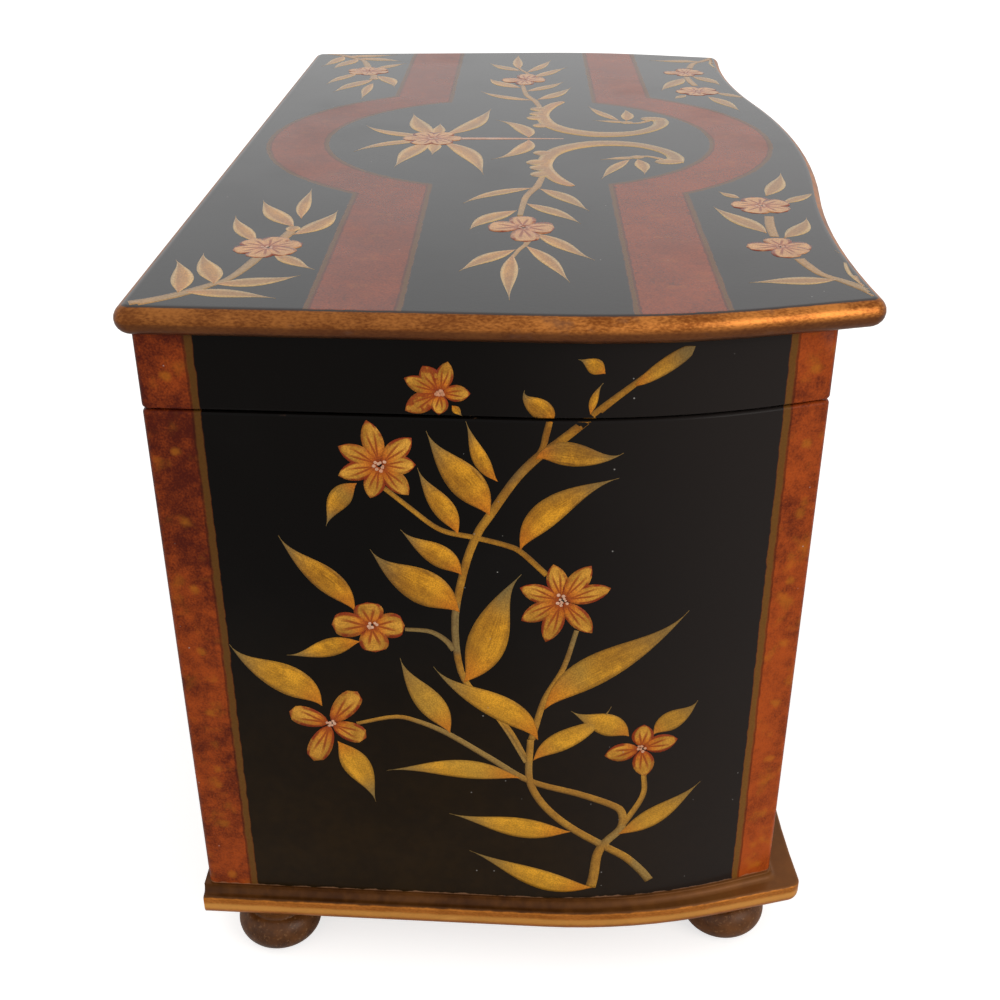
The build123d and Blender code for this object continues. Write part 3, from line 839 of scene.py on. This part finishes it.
# The lid's paints carry a painted sheen: paler colours that stand for the reflection of its gloss.
LID_PAINTS = make_paints("lid", 0.5, 0.6)
print("mixed", ", ".join(PAINTS))


# %% [markdown]
# ## One brush stroke
# The painting is slightly raised, as lacquer painting is. A stroke starts as a flat grid: its length
# follows a path on the panel, and its width follows a profile, so three grids give every leaf, petal,
# stem and dot. How full the paint is at each point is kept as a vertex group, for its thickness later.
# Stems are laid first and thinnest, then leaves, petals and dots, each a little fuller than the last.

# %% Make the grid that each stroke starts from
def make_stroke_grid(name, along, across):
    bpy.ops.object.select_all(action="DESELECT")
    bpy.ops.mesh.primitive_grid_add(x_subdivisions=along, y_subdivisions=across, size=1)
    grid = bpy.context.object
    grid.name = name
    return grid


long_grid = make_stroke_grid("long_grid", 48, 4)
leaf_grid = make_stroke_grid("leaf_grid", 22, 6)
small_grid = make_stroke_grid("small_grid", 9, 6)
SMALLEST = 0.08


def leaf_width(s):
    return 9.1 * s ** 1.3 * (1 - s) ** 2


def pointed_width(s):
    return 3.0 * (s + 0.01) ** 0.8 * (1 - s) ** 0.8


def petal_width(s):
    return 2.0 * (s + 0.01) ** 0.62 * (1 - s) ** 0.42


def round_width(s):
    return 2 * math.sqrt(max(s * (1 - s), 0))


def curve_point(points, s):
    """A point on the smooth line through all the points, with s from 0 to 1."""
    spans = len(points) - 1
    index = min(int(s * spans), spans - 1)
    t = s * spans - index
    a, b = points[index], points[index + 1]
    before = points[index - 1] if index > 0 else a + (a - b)
    after = points[index + 2] if index + 2 <= spans else b + (b - a)
    return 0.5 * (
        2 * a + (b - before) * t + (2 * before - 5 * a + 4 * b - after) * t * t
        + (3 * a - before - 3 * b + after) * t * t * t
    )


def lay_stroke(grid, paint, path, half_width, place, lift):
    piece = bpy.data.objects.new("stroke", grid.data.copy())
    bpy.context.scene.collection.objects.link(piece)
    fullness = piece.vertex_groups.new(name="fullness")
    for vertex in piece.data.vertices:
        s, t = vertex.co.x + 0.5, vertex.co.y * 2
        ahead = path(min(s + 0.01, 1)) - path(max(s - 0.01, 0))
        aside = Vector((-ahead.y, ahead.x)).normalized()
        width = max(half_width(s), SMALLEST)
        vertex.co = place(path(s) + aside * t * width)
        bulge = min(1, width / 2) * (1 - t * t) ** 0.5
        fullness.add([vertex.index], min(1, lift + 0.25 * bulge), "REPLACE")
    for name in PAINTS:
        piece.data.materials.append(PAINTS[name])
    for face in piece.data.polygons:
        face.material_index = list(PAINTS).index(paint)
        face.use_smooth = True
    return piece


print("stroke grids ready:", long_grid.name, leaf_grid.name, small_grid.name)


# %% [markdown]
# ## Leaves, stems and flowers
# Each plant is put together from strokes. A leaf is given by its base, its tip and its width, with two
# angles that bend it at the base and at the tip. A stem is a line through some points, with its widths
# along the way. A flower is a set of petals, each given by its tip, with a cluster of dots in the middle.

# %% Compose strokes into a plant
def leaf(place, base, tip, width, start=0, end=0):
    base, tip = Vector(base), Vector(tip)
    chord = tip - base
    reach = chord.length / 3
    first = base + Matrix.Rotation(math.radians(start), 2) @ chord.normalized() * reach
    last = tip - Matrix.Rotation(math.radians(end), 2) @ chord.normalized() * reach

    def path(s):
        r = 1 - s
        return base * r ** 3 + first * (3 * r * r * s) + last * (3 * r * s * s) + tip * s ** 3

    return lay_stroke(leaf_grid, "leaf", path, lambda s: width / 2 * leaf_width(s), place, 0.3)


def stem(place, points, widths, paint="stem", lift=0.12):
    points = [Vector(point) for point in points]
    widths = [Vector((width, 0)) for width in widths]

    def half_width(s):
        return curve_point(widths, s).x / 2

    return lay_stroke(long_grid, paint, lambda s: curve_point(points, s), half_width, place, lift)


def petal(place, base, tip, width, paint="petal", profile=pointed_width, lift=0.5):
    base, tip = Vector(base), Vector(tip)

    def half_width(s):
        return width / 2 * profile(s)

    return lay_stroke(small_grid, paint, lambda s: base.lerp(tip, s), half_width, place, lift)


def flower(place, center, tips, width, dots=8, core=2.0, profile=pointed_width, paint="petal"):
    chance = random.Random(round(center[0] * 7 + center[1] * 3))
    center = Vector(center)
    strokes = []
    for index, tip in enumerate(tips):
        root = center.lerp(Vector(tip), 0.06)
        strokes.append(petal(place, root, tip, width, paint, profile, 0.48 + 0.04 * index))
    for index in range(dots):
        angle = math.tau * index / dots + chance.uniform(-0.4, 0.4)
        spot = center + Vector((math.cos(angle), math.sin(angle))) * core * chance.uniform(0.25, 1.0)
        size = Vector((chance.uniform(0.4, 0.62), 0))
        strokes.append(petal(place, spot - size, spot + size, 2 * size.x, "dot", round_width, 0.9))
    return strokes


def all_of(kind, place, rows):
    """One stroke of a kind for each row of measures."""
    return [kind(place, *row) for row in rows]


def ring_of_petals(place, center, reach, count, turn, width):
    tips = []
    for index in range(count):
        angle = math.radians(turn) + math.tau * index / count
        tips.append(Vector(center) + Vector((math.cos(angle), math.sin(angle))) * reach)
    return flower(place, center, tips, width, profile=petal_width)


print("leaf, stem, petal and flower are ready")


# %% [markdown]
# ## The spray on the ends
# Two stems cross at the foot of the panel and climb it side by side, over the seam and on to the lid's rim.
# Places are in millimetres: the first number runs toward the front of the chest, and the second up
# from the seam.

# %% Paint the end spray
def end_spray(place):
    strokes = all_of(stem, place, [
        ([(36, -188), (37, -182), (38, -172), (41, -166), (46, -160), (46, -153), (42, -149),
         (30, -143.5), (13, -138), (0, -129), (-14.5, -119), (-25, -114), (-33, -112.5), (-46, -116)],
         [3.8, 3.0, 2.4, 1.4]),
        ([(57.5, -186.5), (54, -181), (48, -174), (40, -168), (28, -159), (20, -151), (15, -143),
         (13, -135), (13.5, -120)], [3.2, 3, 2.4]),
        ([(13.8, -120), (18, -103), (24, -90), (28, -75)], [2.4, 2, 1.6]),
        ([(12, -128), (5.5, -115), (-4.5, -102.5), (-10, -92), (-11.5, -72), (-8, -52), (-4, -40),
         (0, -33), (8, -20), (15, -12), (20, -8), (28, -1), (36, 6), (46, 14)],
         [1.6, 2.2, 2.6, 2.8, 2.8, 1.8]),
        ([(-33, -24), (-25, -31), (-18, -37), (-13, -39.5), (-5, -41), (5, -43.5), (10, -46),
         (18, -54)], [1.6, 1.8, 2.0]),
        ([(-28, -76.5), (-20, -77), (-15, -80), (-12, -84)], [1.4, 2.2]),
        ([(53, -136), (53, -146), (46, -160)], [1.8, 2.4]),
        ([(13, -14), (16, -9), (17, -5), (18, -0.5)], [0.8, 2.0, 2.0]),
        ([(0, -108), (6, -118), (12, -130)], [1.0, 1.6]),
    ])
    strokes += all_of(leaf, place, [
        ((-41, -23), (-51.5, -38.5), 7, -25, 15),
        ((0, -33), (-19, -4.5), 11, -14, -16),
        ((2.5, -21), (-7, -1), 5, 22, -8),
        ((-10, -40), (-22, -17), 7, -15, -14),
        ((9.5, -45), (39.5, -19.5), 9, 35, -25),
        ((14, -13), (40.5, -11), 8, 38, 30),
        ((-9, -55), (-28, -39), 8, -22, -14),
        ((-10, -69), (-38, -46.5), 13, -14, -24),
        ((-44, -70), (-67, -42.5), 9, -20, -16),
        ((-43, -82), (-68, -88.5), 7, -8, -14),
        ((-9, -97), (10, -54), 13, -16, -18),
        ((-57.5, -109), (-87, -85), 12, -28, -24),
        ((-14, -118.5), (-30, -88), 9.5, -12, -18),
        ((16, -120), (-19, -91), 10, -32, -20),
        ((18, -107), (64.5, -69.5), 12, 25, 14),
        ((14.5, -129), (40.5, -106), 8, 18, 28),
        ((47, -119), (27, -107.5), 9, -24, -12),
        ((55.5, -119), (70, -106.5), 8, 22, 28),
        ((10, -137), (-36.5, -136), 8, -14, 12),
        ((-53, -124), (-41, -150.5), 10, 8, -14),
        ((28, -161), (-15, -154.5), 9, 8, -6),
        ((45, -163), (73.5, -142.5), 8, -8, 12),
        ((37, -188), (-8, -171.5), 9, 20, -6),
        ((18.5, -1), (10.5, 9.5), 6.5, -42, -60),
        ((30, 2), (33.5, 12), 2.5, 10, -20),
        ((34, 15), (26, 19.5), 5, -10, 15),
        ((-11, 4), (-8, 0.5), 2.5),
    ])
    strokes += all_of(petal, place, [
        ((43, 11), (60, 22.5), 5, "leaf", petal_width, 0.3),
    ])
    for row in (
        ((-14.5, 8), [(-25, 2), (-19.5, 16.5)], 6.6, 0, 2.0, pointed_width, "red_petal"),
        ((-14.5, 8), [(-25, 12.5), (-12, 18), (-5.5, 8), (-15, 1)], 5.4, 7, 1.8),
        ((-33.5, -16.5), [(-37, -1.5), (-46, -10.5), (-46.5, -20.5), (-37, -28), (-25, -26.5),
         (-22.5, -16), (-23.5, -7)], 6.7, 9, 2.2),
        ((23, -63.5), [(20, -50), (9.5, -59), (10, -71.5), (18, -79.5), (33, -76), (38.5, -59),
         (32, -50.5)], 6.9, 9, 2.4),
        ((-39, -75.5), [(-40, -66.5), (-28, -75), (-38, -86), (-52, -75.5)], 9.8, 7, 2.0, petal_width),
        ((-55, -116.5), [(-45, -102.5), (-43, -122), (-62, -133), (-69, -112)], 8.2, 8, 1.6, petal_width),
        ((51.5, -124.5), [(52, -114.5), (64, -122), (53.5, -137), (39, -127)], 7.6, 7, 1.8),
    ):
        strokes += flower(place, *row)
    return strokes


END_REACH = 215 * MM


def on_left_end(spot):
    return Vector((-END_REACH, SIDE_MIDDLE - MM * spot[0], SEAM + MM * spot[1]))


def on_right_end(spot):
    return Vector((END_REACH, SIDE_MIDDLE - MM * spot[0], SEAM + MM * spot[1]))


def on_end_board(spot):
    return abs(spot.x) < END_REACH - MM


print("the end spray is laid out")


# %% [markdown]
# ## Laying the painting on the wood
# The joined strokes are cut off at the seam and pushed onto the board behind them with Shrinkwrap. Points
# that miss the board, or land where it rounds off, are dropped. Solidify then gives the paint its small
# thickness. The same is done for each panel, from whichever side it faces.

# %% Lay strokes on a board
def drop_points(piece, landed):
    edit_all_of(piece, bpy.ops.mesh.select_all, action="DESELECT")
    for vertex in piece.data.vertices:
        vertex.select = not landed(vertex.co)
    bpy.ops.object.mode_set(mode="EDIT")
    bpy.ops.mesh.delete(type="VERT")
    bpy.ops.object.mode_set(mode="OBJECT")


def join(strokes, name):
    bpy.ops.object.select_all(action="DESELECT")
    for stroke in strokes:
        stroke.select_set(True)
    bpy.context.view_layer.objects.active = strokes[0]
    bpy.ops.object.join()
    bpy.context.object.name = name
    return bpy.context.object


PAINT_DEPTH = 0.16 * MM
LID_PAINT_DEPTH = 0.09 * MM


def lay_on(
    piece, board, axis, toward_positive, body, landed, cuts, flip, paints=PAINTS, thickness=PAINT_DEPTH
):
    for cut, keep_side in cuts:
        edit_all_of(piece, bpy.ops.mesh.bisect, plane_co=cut, plane_no=keep_side, clear_inner=True)
    if flip:
        edit_all_of(piece, bpy.ops.mesh.flip_normals)
    wrap = piece.modifiers.new("onto_board", "SHRINKWRAP")
    wrap.wrap_method = "PROJECT"
    wrap.target = board
    for letter in "xyz":
        setattr(wrap, "use_project_" + letter, axis == letter)
    wrap.use_positive_direction = toward_positive
    wrap.use_negative_direction = not toward_positive
    apply_modifiers(piece)
    drop_points(piece, landed)
    body_of_paint = piece.modifiers.new("body_of_paint", "SOLIDIFY")
    body_of_paint.thickness = thickness
    body_of_paint.offset = 0.9
    body_of_paint.vertex_group = "fullness"
    body_of_paint.thickness_vertex_group = 0.1
    apply_modifiers(piece)
    for index, kind in enumerate(paints):
        piece.data.materials[index] = paints[kind]
    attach(piece, body)
    print(piece.name, "has", len(piece.data.polygons), "faces")


def paint_both_halves(strokes, name, boards, axis, toward_positive, landed, flip):
    lower = join(strokes, name + "_case")
    upper = bpy.data.objects.new(name + "_rim", lower.data.copy())
    bpy.context.scene.collection.objects.link(upper)
    below_seam = ((0, 0, SEAM - 0.6 * MM), (0, 0, -1))
    above_seam = ((0, 0, SEAM + 0.6 * MM), (0, 0, 1))
    above_foot = ((0, 0, CASE_FOOT + 0.5 * MM), (0, 0, 1))
    lower_cuts = (below_seam, above_foot)
    lay_on(lower, boards[0], axis, toward_positive, "case", landed, lower_cuts, flip)
    lay_on(upper, boards[1], axis, toward_positive, "lid", landed, (above_seam,), flip)


for side, place, from_left in (("left", on_left_end, True), ("right", on_right_end, False)):
    boards = BOARDS[side + "_end"], BOARDS[side + "_rim"]
    paint_both_halves(end_spray(place), side + "_spray", boards, "x", from_left, on_end_board, not from_left)


# %% [markdown]
# ## The front
# The front repeats the end's spray twice, as a mirrored pair, so that the two sprays lean toward the
# middle. The board is serpentine, but the strokes are pushed onto it straight from the front.

# %% Paint the front
SPRAY_ASIDE = 94
FRONT_REACH = 130 * MM


def on_front_left(spot):
    return Vector(((-SPRAY_ASIDE + spot[0]) * MM, -FRONT_REACH, SEAM + MM * spot[1]))


def on_front_right(spot):
    return Vector(((SPRAY_ASIDE - spot[0]) * MM, -FRONT_REACH, SEAM + MM * spot[1]))


def on_front_board(spot):
    return spot.y > MM - FRONT_REACH


boards = BOARDS["front_case"], BOARDS["front_rim"]
for side, place, flip in (("left", on_front_left, False), ("right", on_front_right, True)):
    name = "front_" + side + "_spray"
    paint_both_halves(end_spray(place), name, boards, "y", True, on_front_board, flip)


# %% [markdown]
# ## The lid
# A pair of scrolls and a large lily fill the ring, with a spray of leaves at each end and a flowering
# branch in each corner. Places are in millimetres from the middle of the lid: toward the front, then
# along its length. The far half mirrors the near half about the middle of the ring.

# %% Lay out the two corner sprays
def back_corner_spray(place):
    strokes = all_of(stem, place, [
        ([(-116, -206), (-108, -202), (-100, -196), (-93, -188), (-88, -181), (-84, -165),
         (-83, -155)], [5.2, 4.8, 4.4, 2.8, 3.6, 3.6]),
        ([(-80, -147), (-78, -138), (-77, -130)], [3.2, 3.8, 3.0]),
    ])
    strokes += all_of(leaf, place, [
        ((-100, -194), (-71, -199.5), 7, 8, -10),
        ((-101, -195), (-109, -164), 7, -12, 12),
        ((-92, -187), (-101.5, -157), 7.5, -10, -14),
        ((-92, -187), (-67, -178.5), 8, -12, 24),
        ((-79, -158), (-63.5, -173), 6, 8, 10),
        ((-87, -145), (-99.5, -115), 6, 4, -14),
        ((-77, -128), (-93.5, -95), 8, 6, -12),
        ((-76, -137), (-64.5, -108), 8, -22, 16),
        ((-76, -118), (-78, -79), 5, 8, 0),
    ])
    strokes += all_of(petal, place, [
        ((-77, -133), (-77, -127), 5, "leaf", round_width, 0.5),
    ])
    return strokes + ring_of_petals(place, (-82, -150.5), 11.5, 6, 20, 9.5)


def front_corner_spray(place):
    strokes = all_of(stem, place, [
        ([(106, -194), (103, -188), (98, -181), (93, -175), (90, -165), (89, -160)],
         [4.6, 4, 3, 3.4, 3.5]),
        ([(85, -137), (85.5, -125), (87, -113)], [3, 3.4, 3.2]),
    ])
    strokes += all_of(leaf, place, [
        ((97, -180), (69.7, -183.5), 7, 6, 8),
        ((103, -186), (102, -151), 8, -18, 18),
        ((88, -138), (99.7, -114.5), 7, -14, 20),
        ((83, -133), (69, -101), 8, -8, -10),
        ((95, -97), (109, -81.5), 5, 6, 10),
        ((90, -87), (101, -54), 7, -8, 10),
        ((80, -90), (73.5, -81), 4, 6, -10),
    ])
    tips = [(95.4, -147), (85, -138), (74, -148), (86, -159.5), (92, -155)]
    strokes += flower(place, (85.5, -147.5), tips, 9.5, 8, 2.0, petal_width)
    return strokes + ring_of_petals(place, (86.5, -99.5), 11, 5, 100, 10.5)


print("the corner sprays are laid out")


# %% Lay out the middle spray and the scroll
def middle_spray(place):
    strokes = all_of(stem, place, [
        ([(8.5, -60), (7, -70), (6, -76), (4, -82), (2, -90), (1, -100), (0, -114)], [2.4, 3, 2.6, 2]),
        ([(3, -142), (2, -147), (0, -152), (-2, -160)], [2.2, 1.8, 1.4]),
    ])
    strokes += all_of(leaf, place, [
        ((7, -78), (24.5, -107.5), 7, 16, -8),
        ((2, -98), (21, -123), 6.5, 8, -14),
        ((5, -134), (24, -162.5), 6.5, 8, 6),
        ((2, -148), (15.5, -184), 5.5, 12, -6),
        ((-2, -157), (-2.5, -200), 5.5, -4, 4),
        ((-1, -152), (-18.5, -174), 7, -14, 10),
        ((-1, -107), (-17, -131), 8, -18, 24),
        ((5, -77), (-20.5, -98), 6, -22, 24),
    ])
    tips = (((1, -113.8), 9.5, 0), ((2.5, -143.8), 10, 0), ((-10.9, -126), 13, 0), ((11.9, -128.5), 14, 9))
    for tip, width, dots in tips:
        strokes += flower(place, (1, -127.5), [tip], width, dots, 2.6, petal_width)
    return strokes


def scroll(place):
    strokes = all_of(stem, place, [
        ([(20, -74), (18, -72), (14.5, -66), (11.5, -57), (9.5, -46), (10, -36), (12, -26), (16, -18),
         (22, -11.5), (30, -7), (38, -6), (47, -8), (54, -13), (60, -21), (62.5, -30), (61, -38)],
         [2, 5.5, 6, 6.5, 8, 9.5, 9.5, 7, 6.5, 8], "leaf", 0.3),
    ])
    strokes += all_of(petal, place, [
        ((65, -36), (53.5, -37.5), 8.4, "leaf", round_width, 0.4),
        ((50, -29), (44, -30), 5, "leaf", round_width, 0.4),
    ])
    strokes += all_of(stem, place, [
        ([(57, -33), (52, -28.5), (47, -29)], [2.6, 2.2, 2.6], "leaf", 0.35),
    ])
    strokes += all_of(leaf, place, [
        ((48, -29), (32, -34), 4, 8, 8),
        ((44, -33), (31, -64), 5, -8, 8),
        ((47, -33), (48, -57), 6, 8, -8),
    ])
    crest = (
        ((12, -21), (6, -26)), ((11, -36), (2.5, -41)), ((10.5, -45), (4.5, -50)), ((12, -54), (4.5, -60)),
    )
    return strokes + [petal(place, base, tip, 9, "leaf", round_width, 0.34) for base, tip in crest]


def half_of_lid(place):
    return back_corner_spray(place) + front_corner_spray(place) + middle_spray(place) + scroll(place)


def half_of_lily(place):
    strokes = all_of(leaf, place, [
        ((-38, -2), (-69, -22), 6.5, -34, 34),
        ((-38, -3), (-50, -47), 9, -12, 8),
        ((-37, -3), (-36.5, -27), 6, 4, -4),
        ((-34, -4), (-14.5, -58), 9, 24, -12),
        ((3, 0), (-12, -34), 8, 28, -32),
    ])
    return strokes


print("the lid's half is laid out")


# %% Paint the lid
LID_REACH = 280 * MM
TWICE_THE_MIDDLE = 4


def on_lid(spot):
    return Vector((MM * spot[1], -MM * spot[0], LID_REACH))


def on_lid_far_half(spot):
    return on_lid((spot[0], TWICE_THE_MIDDLE - spot[1]))


def on_flat_of_lid(spot):
    return abs(spot.z - LID_TOP) < 0.05 * MM


def paint_lid(strokes, name, flip=False):
    piece = join(strokes, name)
    board = BOARDS["lid_top"]
    lay_on(piece, board, "z", False, "lid", on_flat_of_lid, (), flip, LID_PAINTS, LID_PAINT_DEPTH)


lily_heart = ring_of_petals(on_lid, (-38, 2), 13, 6, 0, 10)
paint_lid(half_of_lid(on_lid) + half_of_lily(on_lid) + lily_heart, "lid_painting_near")
paint_lid(half_of_lid(on_lid_far_half) + half_of_lily(on_lid_far_half), "lid_painting_far", flip=True)
paint_lid([stem(on_lid, [(-28, 2), (-8, 2), (18, 2)], [3.6, 3.2, 0.8], "dot", 0.3)], "lid_bar")
for grid in (long_grid, leaf_grid, small_grid):
    bpy.data.objects.remove(grid)


# %% [markdown]
# ## Bun feet
# The feet are turned and stained a dark, speckled brown. Their CAD shape is already right, so they are
# dressed like the boards, with a finish whose speckles come from a fine noise.

# %% Finish the feet
def make_foot_finish():
    material, tree, surface, place = start_material("speckled_brown", Specular_IOR_Level=0.25)
    paint = use_group(tree, uneven_paint, Vector=place)
    color = mix(tree, paint["Cloud"], (0.060, 0.019, 0.004, 1), (0.16, 0.056, 0.012, 1))
    speckle = step(tree, noise(tree, place, 900, 3, at=(0, 0, 9)), 0.58, 0.68)
    color = mix(tree, times(tree, speckle, 0.35), color, (0.34, 0.17, 0.07, 1))
    feed(tree, surface["Base Color"], color)
    feed(tree, surface["Roughness"], scaled(tree, paint["Cloud"], 0.15, 0.25))
    feed(tree, surface["Normal"], bump(tree, paint["Grain"], 0.1 * MM, 0.6))
    return material


foot_finish = make_foot_finish()
for corner in ("front_left", "front_right", "back_left", "back_right"):
    dress("foot_" + corner, "case", foot_finish, 50)
print("finished the feet")


# %% [markdown]
# ## Brass
# The hinges and screws are small and plain. Their satin brass gets fine scratches and a darker tarnish
# in patches, from two noises of very different size.

# %% Finish the metal
def make_brass(name, bright, dull):
    material, tree, surface, place = start_material(name, Metallic=1.0)
    tarnish = step(tree, noise(tree, place, 190, 5), 0.42, 0.7)
    feed(tree, surface["Base Color"], mix(tree, tarnish, bright, dull))
    scratches = noise(tree, place, 2600, 2, squeeze=(0.1, 1, 1))
    feed(tree, surface["Roughness"], scaled(tree, tarnish, 0.2, 0.25))
    feed(tree, surface["Normal"], bump(tree, scratches, 0.03 * MM, 0.5))
    return material


hinge_brass = make_brass("hinge_brass", (0.72, 0.50, 0.20, 1), (0.34, 0.20, 0.07, 1))
screw_brass = make_brass("screw_brass", (0.64, 0.48, 0.22, 1), (0.30, 0.20, 0.09, 1))
for side in ("left", "right"):
    dress("case_hinge_leaf_" + side, "case", hinge_brass)
    dress("lid_hinge_leaf_" + side, "lid", hinge_brass)
    dress("hinge_pin_" + side, "case", hinge_brass)
dress("case_hinge_screws", "case", screw_brass)
dress("plinth_screws", "case", screw_brass)
dress("lid_hinge_screws", "lid", screw_brass)
print("finished the hinges and screws")


# %% [markdown]
# ## Velvet
# The inside is lined with red velvet. Velvet looks pale where it is seen edge-on, which is the shader's
# sheen, and its pile lies this way and that, which is a noise of a centimetre or so over a very fine one.

# %% Line the inside with velvet
def make_velvet():
    material, tree, surface, place = start_material(
        "red_velvet", Roughness=0.9, Sheen_Weight=0.7, Sheen_Roughness=0.4, Sheen_Tint=(0.9, 0.35, 0.35, 1)
    )
    brushed = step(tree, noise(tree, place, 70, 4), 0.35, 0.7)
    pile = noise(tree, place, 4200, 2)
    color = mix(tree, brushed, (0.12, 0.006, 0.010, 1), (0.26, 0.018, 0.022, 1))
    color = mix(tree, step(tree, pile, 0.4, 0.7, 0.0, 0.4), color, (0.38, 0.04, 0.045, 1))
    feed(tree, surface["Base Color"], color)
    feed(tree, surface["Normal"], bump(tree, pile, 0.25 * MM, 0.5))
    return material


velvet = make_velvet()
for node in ("floor_lining", "liner_front", "liner_back", "liner_left", "liner_right"):
    dress(node, "case", velvet)
for node in ("floor", "rail_front", "rail_back", "rail_left", "rail_right"):
    dress("tray_" + node, "tray", velvet)
for node in ("divider_long", "divider_left", "divider_right"):
    dress("tray_" + node, "tray", velvet)
print("lined the well and the tray")


# %% [markdown]
# ## Soft pads and ring rolls
# The lid's lining, the tray's three pads and its four ring rolls are stuffed. Each starts a little smaller
# than its space, has even small faces, and is blown up by a cloth simulation. The tray's pads are too thin
# to be remeshed, so they start as a grid with some depth. A limit on how far each point may move keeps
# the pad inside its place.

# %% Start a pad from its space
def stuffed_block(low, high, inset):
    size = high - low - Vector((inset, inset, inset)) * 2
    bpy.ops.mesh.primitive_cube_add(size=1, location=(low + high) / 2, scale=size)
    piece = bpy.context.object
    bpy.ops.object.transform_apply(location=True, rotation=True, scale=True)
    edge = piece.modifiers.new("round", "BEVEL")
    edge.width = min(size) * 0.3
    edge.segments = 3
    apply_modifiers(piece)
    remesh = piece.modifiers.new("even_faces", "REMESH")
    remesh.mode = "VOXEL"
    remesh.voxel_size = 4 * MM if min(size) > 6 * MM else 2.6 * MM
    apply_modifiers(piece)
    return piece


def thin_block(low, high, inset):
    size = high - low
    middle = (low + high) / 2
    spot = (middle.x, middle.y, low.z)
    bpy.ops.mesh.primitive_grid_add(x_subdivisions=26, y_subdivisions=22, size=1, location=spot)
    piece = bpy.context.object
    piece.scale = (size.x - 2 * inset, size.y - 2 * inset, 1)
    bpy.ops.object.transform_apply(location=True, rotation=True, scale=True)
    depth = piece.modifiers.new("depth", "SOLIDIFY")
    depth.thickness = size.z * 0.5
    depth.offset = 1
    apply_modifiers(piece)
    return piece


print("a pad can start as a block or as a thin sheet of stuffing")


# %% Blow up a pad
STUFFING_PRESSURE = 4.0
STUFFING_STEPS = 20


def soft_piece(node, body, inset, most, start=stuffed_block):
    low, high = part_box(node)
    bpy.ops.object.select_all(action="DESELECT")
    piece = start(low, high, inset)
    piece.name = "soft_" + node
    before = [vertex.co.copy() for vertex in piece.data.vertices]
    cloth = piece.modifiers.new("stuffing", "CLOTH")
    cloth.settings.use_pressure = True
    cloth.settings.uniform_pressure_force = STUFFING_PRESSURE
    cloth.settings.effector_weights.gravity = 0
    for moment in range(1, STUFFING_STEPS + 1):
        bpy.context.scene.frame_set(moment)
    apply_modifiers(piece)
    bpy.context.scene.frame_set(1)
    for vertex, origin in zip(piece.data.vertices, before):
        move = vertex.co - origin
        vertex.co = origin + move * min(1, most / max(move.length, 1e-9))
        for index in range(3):
            vertex.co[index] = min(max(vertex.co[index], low[index]), high[index])
    smoother = piece.modifiers.new("rounder", "SUBSURF")
    smoother.levels = smoother.render_levels = 1
    apply_modifiers(piece)
    bpy.ops.object.shade_smooth()
    piece.data.materials.append(velvet)
    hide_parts(node)
    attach(piece, body)


for roll in range(1, 5):
    soft_piece("ring_roll_" + str(roll), "tray", 0.8 * MM, 1.5 * MM)
for side in ("left", "middle", "right"):
    soft_piece("tray_pad_" + side, "tray", 0.6 * MM, 1.2 * MM, thin_block)
soft_piece("lid_lining_pad", "lid", 0.3 * MM, 1.5 * MM)
print("stuffed eight soft pieces")
